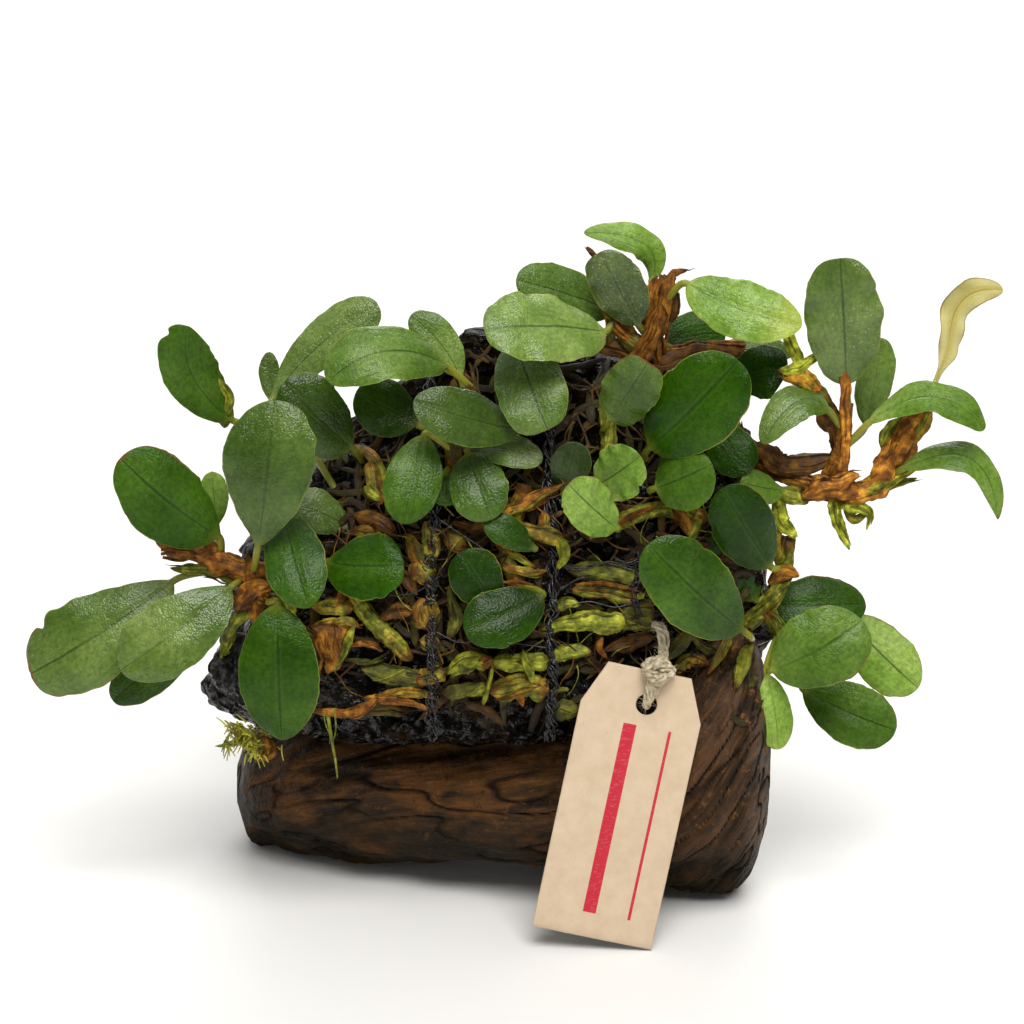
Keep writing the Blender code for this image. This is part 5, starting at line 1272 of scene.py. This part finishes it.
FREE_SHREDS = [
    ([(-88, 83, 9), (-80, 81.5, 11), (-74, 79, 13)], 5.2, (0.12, 0.1), ORANGE),
    ([(-76, 78, 14), (-68, 76, 16), (-60, 74, 18)], 5.4, (0.2, 0.2), ORANGE),
    ([(-71, 70.5, 19), (-74.5, 66.5, 17), (-77.5, 62, 15)], 3.6, (0.2, 0.5), BRIGHT),
    ([(-68, 66, 20), (-65, 70, 21), (-60, 71, 22)], 4.4, (0.2, 0.3), ORANGE),
    ([(-62, 33.5, 24), (-60.5, 30, 25), (-63.5, 28, 25)], 3.4, (0.3, 0.5), ORANGE),
    ([(-66, 32.5, 24), (-70, 32.4, 23), (-73.2, 31.6, 22)], 1.5, (0.2, 0.6), LIME),
    ([(-84, 76.5, 9), (-76, 75, 13), (-70, 72, 16)], 3.0, (0.3, 0.1), LIME),
    ([(-75, 68, 10), (-66, 68, 18)], 4.2, (0.4, 0.2), ORANGE),
    ([(-71, 58, 16), (-68, 63, 18), (-64, 66, 18)], 3.6, (0.6, 0.1), LIME),
    ([(-62, 62, 20), (-64, 69, 19), (-66, 78, 17)], 3.4, (0.3, 0.3), ORANGE),
    ([(-72, 112, 0), (-71, 118, 1), (-74, 124, 1)], 2.6, (0.1, 0.8), LIME),
    ([(34, 135, 4), (34.5, 142, 5), (36, 148, 5)], 3.2, (0.1, 0.3), ORANGE),
    ([(37, 135, 5), (38.5, 144, 5), (40, 149, 4), (43.5, 150, 3)], 2.8, (0.1, 0.6), ORANGE),
    ([(40, 138, 4), (41, 143, 5), (40.7, 146, 5)], 2.6, (0.2, 0.6), UMBER),
    ([(19, 156, 6), (21, 153.8, 6.5), (24, 152, 6)], 1.4, (0.3, 0.3), UMBER),
    ([(30, 127, 6), (34, 134, 6), (36.5, 141, 6)], 4.6, (0.1, 0.3), ORANGE),
    ([(21.8, 141.5, 3), (24.6, 137, 4), (24, 132.5, 4)], 2.6, (0.4, 0.4), (0.6, 0.3, 0.3)),
    ([(26.5, 134.6, 4), (30.5, 132, 5), (35, 129, 5)], 4.0, (0.3, 0.3), (0.6, 0.35, 0.2)),
    ([(20, 132.4, 3), (26, 130.4, 4), (33, 128.4, 4)], 4.6, (0.3, 0.3), UMBER),
    ([(27, 138.5, 3), (29.4, 134.6, 4), (30.5, 129, 4)], 2.6, (0.3, 0.4), TAN),
    ([(36, 127.5, 3), (46, 130.5, 1), (57, 130.5, -1)], 3.4, (0.1, 0.3), UMBER),
    ([(67.8, 137, 6), (70.2, 131.5, 7), (72.8, 126.2, 8)], 2.9, (0.1, 0.3), BRIGHT),
    ([(67.2, 125.8, 8), (72, 126.6, 8.5), (76.6, 129.6, 8)], 3.4, (0.5, 0.7), BRIGHT),
    ([(68.2, 123.2, 8), (72.6, 124, 8.5), (76.8, 121.2, 8)], 4.4, (0.35, 0.3), (1.3, 0.4, 0.0)),
    ([(72, 124, 5), (78, 119, 5), (82, 112, 5)], 2.8, (0.3, 0.2), SAFFRON),
    ([(77, 114.5, 4), (80.5, 110, 5), (81, 106, 5)], 4.2, (0.3, 0.2), UMBER),
    ([(61.5, 107, 5), (65, 104, 5), (69, 102, 6), (80, 103, 6)], 5.4, (0.3, 0.2), UMBER),
    ([(80.5, 93, 8), (81.5, 87, 9), (84, 81.5, 9)], 3.0, (0.1, 0.7), BRIGHT),
    ([(82, 92, 8), (87, 91.5, 9), (89.8, 89.5, 9), (89.2, 86, 9)], 2.6, (0.2, 0.7), BRIGHT),
    ([(84, 93, 8), (85.5, 88.5, 8.5), (89, 90, 8)], 2.4, (0.2, 0.5), SAFFRON),
    ([(66, 95, 8), (70, 93.5, 9), (73.5, 92.4, 9)], 3.2, (0.3, 0.4), LIME),
    ([(67, 94, 7), (67.6, 88, 8), (70.8, 84.4, 8)], 3.4, (0.2, 0.5), BRIGHT),
    ([(66.6, 90, 7), (66.5, 82, 8), (68, 74, 8)], 2.8, (0.3, 0.4), SAFFRON),
    ([(64.5, 72.5, 12), (68, 74.5, 12), (71.3, 74, 12)], 3.2, (0.3, 0.4), ORANGE),
    ([(92, 97, 5), (97, 104, 4), (99, 112, 4)], 5.0, (0.1, 0.3), ORANGE),
    ([(95, 107, 4), (97.5, 113, 4)], 3.6, (0.3, 0.5), LIME),
    ([(86, 94, 6), (93, 96.5, 6), (100, 98.5, 7)], 2.6, (0.2, 0.6), LIME),
    ([(83, 100, 8), (83.2, 111, 9), (83.2, 124, 10)], 2.5, (0.1, 0.1), AMBER),
    ([(73, 94.2, 9), (80, 96.4, 9.5), (88, 94, 9)], 5.0, (0.3, 0.3), ORANGE),
    ([(76, 99, 8), (80, 97, 9.5), (86, 98.5, 9)], 3.6, (0.3, 0.3), AMBER),
    ([(84, 93.8, 9), (90, 96.6, 8.5), (94, 102, 8)], 5.4, (0.2, 0.2), AMBER),
    ([(91, 99, 8), (95.5, 105.5, 7), (98.5, 111.5, 6)], 5.2, (0.2, 0.2), AMBER),
    ([(96.5, 107, 7), (100, 112, 6), (103.5, 115.5, 5)], 4.4, (0.2, 0.4), ORANGE),
    ([(88, 95.5, 9), (94, 97.4, 9), (100.8, 100.8, 8)], 3.0, (0.2, 0.8), (1.05, 0.4, 0.0)),
    ([(101, 107.6, 6), (103, 111.5, 6), (104.2, 115.5, 5)], 2.4, (0.4, 0.3), (1.05, 0.4, 0.0)),
    ([(92.6, 106.5, 6), (94, 110, 6), (96.8, 113.2, 5)], 3.4, (0.4, 0.4), (1.05, 0.0, 0.0)),
]
SHRED_ROWS, SHRED_SIDES, SHRED_FLAT, SHRED_REACH, LITTER_ROWS, LITTER_SIDES = 36, 16, 0.32, 0.16, 14, 8
STRIP_WIDTH, STRIP_ROWS, STRIP_SIDES = 1.5, 16, 5


def shred_skins(points, width, ends, tint, seed, rows=SHRED_ROWS, sides=SHRED_SIDES, strips=True):
    """A torn sheath. Its body is a flat tube along a smooth path, facing the viewer: it narrows towards each
    end as the share of the way there to the power 0.55, and lumps that are long along it and short round it
    make its grooves and its ragged edge. Thin loose strips lie along the body and past its ends at random."""
    lots = np.random.default_rng(seed)
    points = np.asarray(points)
    first = points[0] - SHRED_REACH * (points[1] - points[0])
    last = points[-1] + SHRED_REACH * (points[-1] - points[-2])
    line = even(np.concatenate([first[None], points[1:-1], last[None]]), rows)
    share = np.linspace(0, 1, rows)
    size = np.sum(np.linalg.norm(np.diff(line, axis=0), axis=1))
    ahead = unit(np.gradient(line, axis=0))
    across = unit(np.cross(ahead, TO_EYE))
    body = np.minimum(np.clip(share / ends[0], 0.02, 1), np.clip((1 - share) / ends[1], 0.02, 1)) ** 0.55
    spot = together(size * share, 7.0 * seed, 0)
    stray = (0.10 * width * rough(spot, (4, 1, 1), seed, 2)
             + 0.05 * size * rough(spot, (1.2 * size, 1, 1), seed + 1, 1))
    line = line + stray[:, None] * across
    grid = tube_grid(line[None], (width / 2 * body)[None], sides, (TO_EYE, SHRED_FLAT))
    turn = np.arange(sides) * 2 * pi / sides
    ring = together(size * share[:, None] / 4.5, 2.2 * np.cos(turn) + 5.0 * seed, 2.2 * np.sin(turn))
    groove = 0.36 * rough(ring, (1, 1, 1), seed + 4, 3) + 0.16 * rough(ring, (0.3, 0.8, 0.8), seed + 6, 2)
    grid = line[None, :, None] + (grid - line[None, :, None]) * (1 + groove)[None, ..., None]
    made = [skin(grid, together(turn / (2 * pi), 3.0 * seed, share[:, None])[None], tint)]
    if strips:
        count = max(2, round(width / STRIP_WIDTH))
        start = lots.uniform(-0.14, 0.4, (count, 1))
        stop = 1 - lots.uniform(-0.14, 0.4, (count, 1))
        own = start + (stop - start) * np.linspace(0, 1, STRIP_ROWS)
        past = np.concatenate([[-0.15], share, [1.15]])
        ends_on = np.concatenate([line[:1] - 0.15 * size * ahead[:1], line,
                                  line[-1:] + 0.15 * size * ahead[-1:]])
        paths = np.stack([np.interp(own, past, ends_on[:, k]) for k in range(3)], axis=-1)
        aside = (0.3 + 0.7 * np.interp(own, share, body)) * width * lots.uniform(-0.5, 0.5, (count, 1))
        which = together(own * size, 13.0 * np.arange(count)[:, None], 7.0 * seed)
        aside = aside + 0.5 * rough(which, (3.5, 1, 1), seed, 2)
        rise = width * (0.5 * SHRED_FLAT - 0.02) * np.sqrt(np.clip(1 - (2.1 * aside / width) ** 2, 0, 1))
        side = unit(np.cross(unit(np.gradient(paths, axis=1)), TO_EYE))
        paths = paths + aside[..., None] * side + (rise * np.interp(own, share, body))[..., None] * TO_EYE
        along = np.linspace(0, 1, STRIP_ROWS)
        taper = np.clip(np.minimum(along, 1 - along) / 0.2, 0.05, 1)
        strip = tube_grid(paths, lots.uniform(0.16, 0.42, (count, 1)) * taper, STRIP_SIDES)
        near = together(np.arange(STRIP_SIDES) / STRIP_SIDES, 3.0 * seed, own[..., None])
        made.append(skin(strip, near, np.array(tint) + lots.uniform(-0.3, 0.3, (count, 1, 1, 3))))
    return made


shreds, litter_skins = [], []
for seed, (places, lift, width, ends, tint) in enumerate(LYING_SHREDS):
    shreds += shred_skins([on_wood(u, v, lift) for u, v in places], width, ends, tint, seed)
piece("stem_shreds_on_wood", shreds, stem_paint.material, "stem_olive")
for seed, (places, lift, width, ends, tint) in enumerate(LITTER):
    litter_skins += shred_skins([on_wood(u, v, lift) for u, v in places], width, ends, tint, 300 + seed,
                                LITTER_ROWS, LITTER_SIDES, False)
piece("litter_on_wood", litter_skins, stem_paint.material, "stem_brown")
shreds = []
for seed, (places, width, ends, tint) in enumerate(FREE_SHREDS):
    shreds += shred_skins([seen(*place) for place in places], width, ends, tint, 100 + seed)
piece("stem_sheaths", shreds, stem_paint.material, "stem_rust")

# Roots: wiry, brown to black, they wander over the upper wood and down its face. The finest lie over the
# sheaths, and a few yellow ones hang free in front of the log.
ROOT_COUNT, ROOT_STEPS, ROOT_LEAP, ROOT_TURNING = 260, 12, 7.0, 0.225


def wandering(starts, headings, lengths, steps, lift, seed):
    """Roots over the wood: from each start in the view a path turns by lumps as it goes, and each of its
    places is put on the wood. Paths that miss the wood or leap off its edge are dropped."""
    heading = np.asarray(headings, dtype=float)
    t = np.linspace(0, 1, steps)
    which = np.arange(len(starts))[:, None]
    turning = rough(together(3 * t, 9.7 * which, 0), (1, 1, 1), seed)
    angle = heading[:, None] + ROOT_TURNING * np.cumsum(turning, axis=1)
    stride = lengths[:, None] / steps
    u = starts[:, :1] + np.cumsum(np.cos(angle) * stride, axis=1)
    v = starts[:, 1:] + np.cumsum(np.sin(angle) * stride, axis=1)
    paths = np.array([[on_wood(a, b, lift) for a, b in zip(us, vs)] for us, vs in zip(u, v)])
    missed = np.array([[seen(a, b, OFF_WOOD) for a, b in zip(us, vs)] for us, vs in zip(u, v)])
    on_it = np.all(np.any(paths != missed, axis=-1), axis=1)
    leaps = np.linalg.norm(np.diff(paths, axis=1), axis=-1).max(axis=1)
    return paths[on_it & (leaps < ROOT_LEAP)]


def wiry(paths, radius, tint):
    """Thin tapering tubes along paths on the wood."""
    taper = radius * (1.15 - 0.7 * np.linspace(0, 1, paths.shape[1]))
    return skin(tube_grid(paths, taper, 5), (0.0, 0.4, 0.5), tint)


starts = np.stack([random.uniform(-60, 58, ROOT_COUNT), random.uniform(54, 126, ROOT_COUNT)], axis=1)
on_upper = np.abs(starts[:, 0]) < 66 - 0.55 * np.clip(starts[:, 1] - 80, 0, 60)
starts = starts[on_upper]
headings = random.normal(-pi / 2, 1.1, len(starts))
lengths = random.uniform(6, 17, len(starts))
# Three kinds of them, a third of the starts each: lift off the wood, seed, thickness and colours.
ROOT_KINDS = ((1.0, 3, 0.32, (0.1, 0.5, 1.0)), (1.4, 4, 0.26, (0.0, 0.8, 0.9)),
              (0.8, 5, 0.42, (0.3, 0.5, 1.1)))
third = len(starts) // 3
root_skins = []
thirds = np.split(np.arange(len(starts)), (third, 2 * third))
for some, (lift, seed, radius, tint) in zip(thirds, ROOT_KINDS):
    paths = wandering(starts[some], headings[some], lengths[some], ROOT_STEPS, lift, seed)
    root_skins.append(wiry(paths, radius, tint))
OVER_COUNT, OVER_LIFT = 110, 3.4
starts = np.stack([random.uniform(-46, 50, OVER_COUNT), random.uniform(50, 100, OVER_COUNT)], axis=1)
headings, lengths = random.normal(-pi / 2, 1.3, OVER_COUNT), random.uniform(5, 15, OVER_COUNT)
over = wandering(starts, headings, lengths, ROOT_STEPS, OVER_LIFT, 6)
YELLOW_ROOT = (0.9, 0.1, 0.2)
root_skins += [wiry(over[:45], 0.17, (0.1, 0.6, 0.6)), wiry(over[45:80], 0.22, (0.0, 0.2, 1.3)),
               wiry(over[80:], 0.16, YELLOW_ROOT)]
# Roots that hang in front of the log: their places (u, v, front) and thickness.
HANGING_ROOTS = (([(-46, 39, 31), (-45, 33, 31), (-44, 27, 30.5), (-43.6, 23.5, 30)], 0.42),
                 ([(-44.5, 41, 31), (-44, 36, 31.5), (-44.8, 32, 31), (-44.2, 30, 31)], 0.2),
                 ([(-47, 40, 31), (-46.6, 37, 31), (-45.5, 34, 31), (-45.6, 32, 31)], 0.16))
for places, radius in HANGING_ROOTS:
    root_skins.append(wiry(even([seen(*place) for place in places], 16)[None], radius, YELLOW_ROOT))
piece("roots", root_skins, stem_paint.material, "stem_brown")

# Moss: a loose cushion of yellow-green threads that hangs under the overhang at the left, round two sheaths.
# Each tuft is short bent threads in all directions: its middle, how far it spreads and how many there are.
MOSS_TUFTS = [((-66, 34, 22), 2.0, 90), ((-63, 31.5, 24), 1.6, 60), ((-68.5, 36, 21), 1.4, 50),
              ((-71, 32.5, 20), 1.0, 16)]
moss = []
for centre, spread, count in MOSS_TUFTS:
    starts = seen(*centre) + spread * random.normal(size=(count, 3)) * (0.8, 0.6, 0.5)
    ways = unit(random.normal(size=(count, 3)) + (0, -0.4, -0.2))
    moss.append(hairs(starts, ways, random.uniform(1.2, 3.4, count), 0.30, 6, 5, 0.5))
moss_paint = Paint("moss", roughness=0.6)
moss_noise = moss_paint.here().noise(350.0)
moss_paint.finish(base_color=moss_noise.ramp((0.32, (0.13, 0.09, 0.01)), (0.5, (0.36, 0.34, 0.02)),
                                             (0.68, (0.66, 0.6, 0.07))))
piece("moss_tufts", moss, moss_paint.material, "stem_olive")
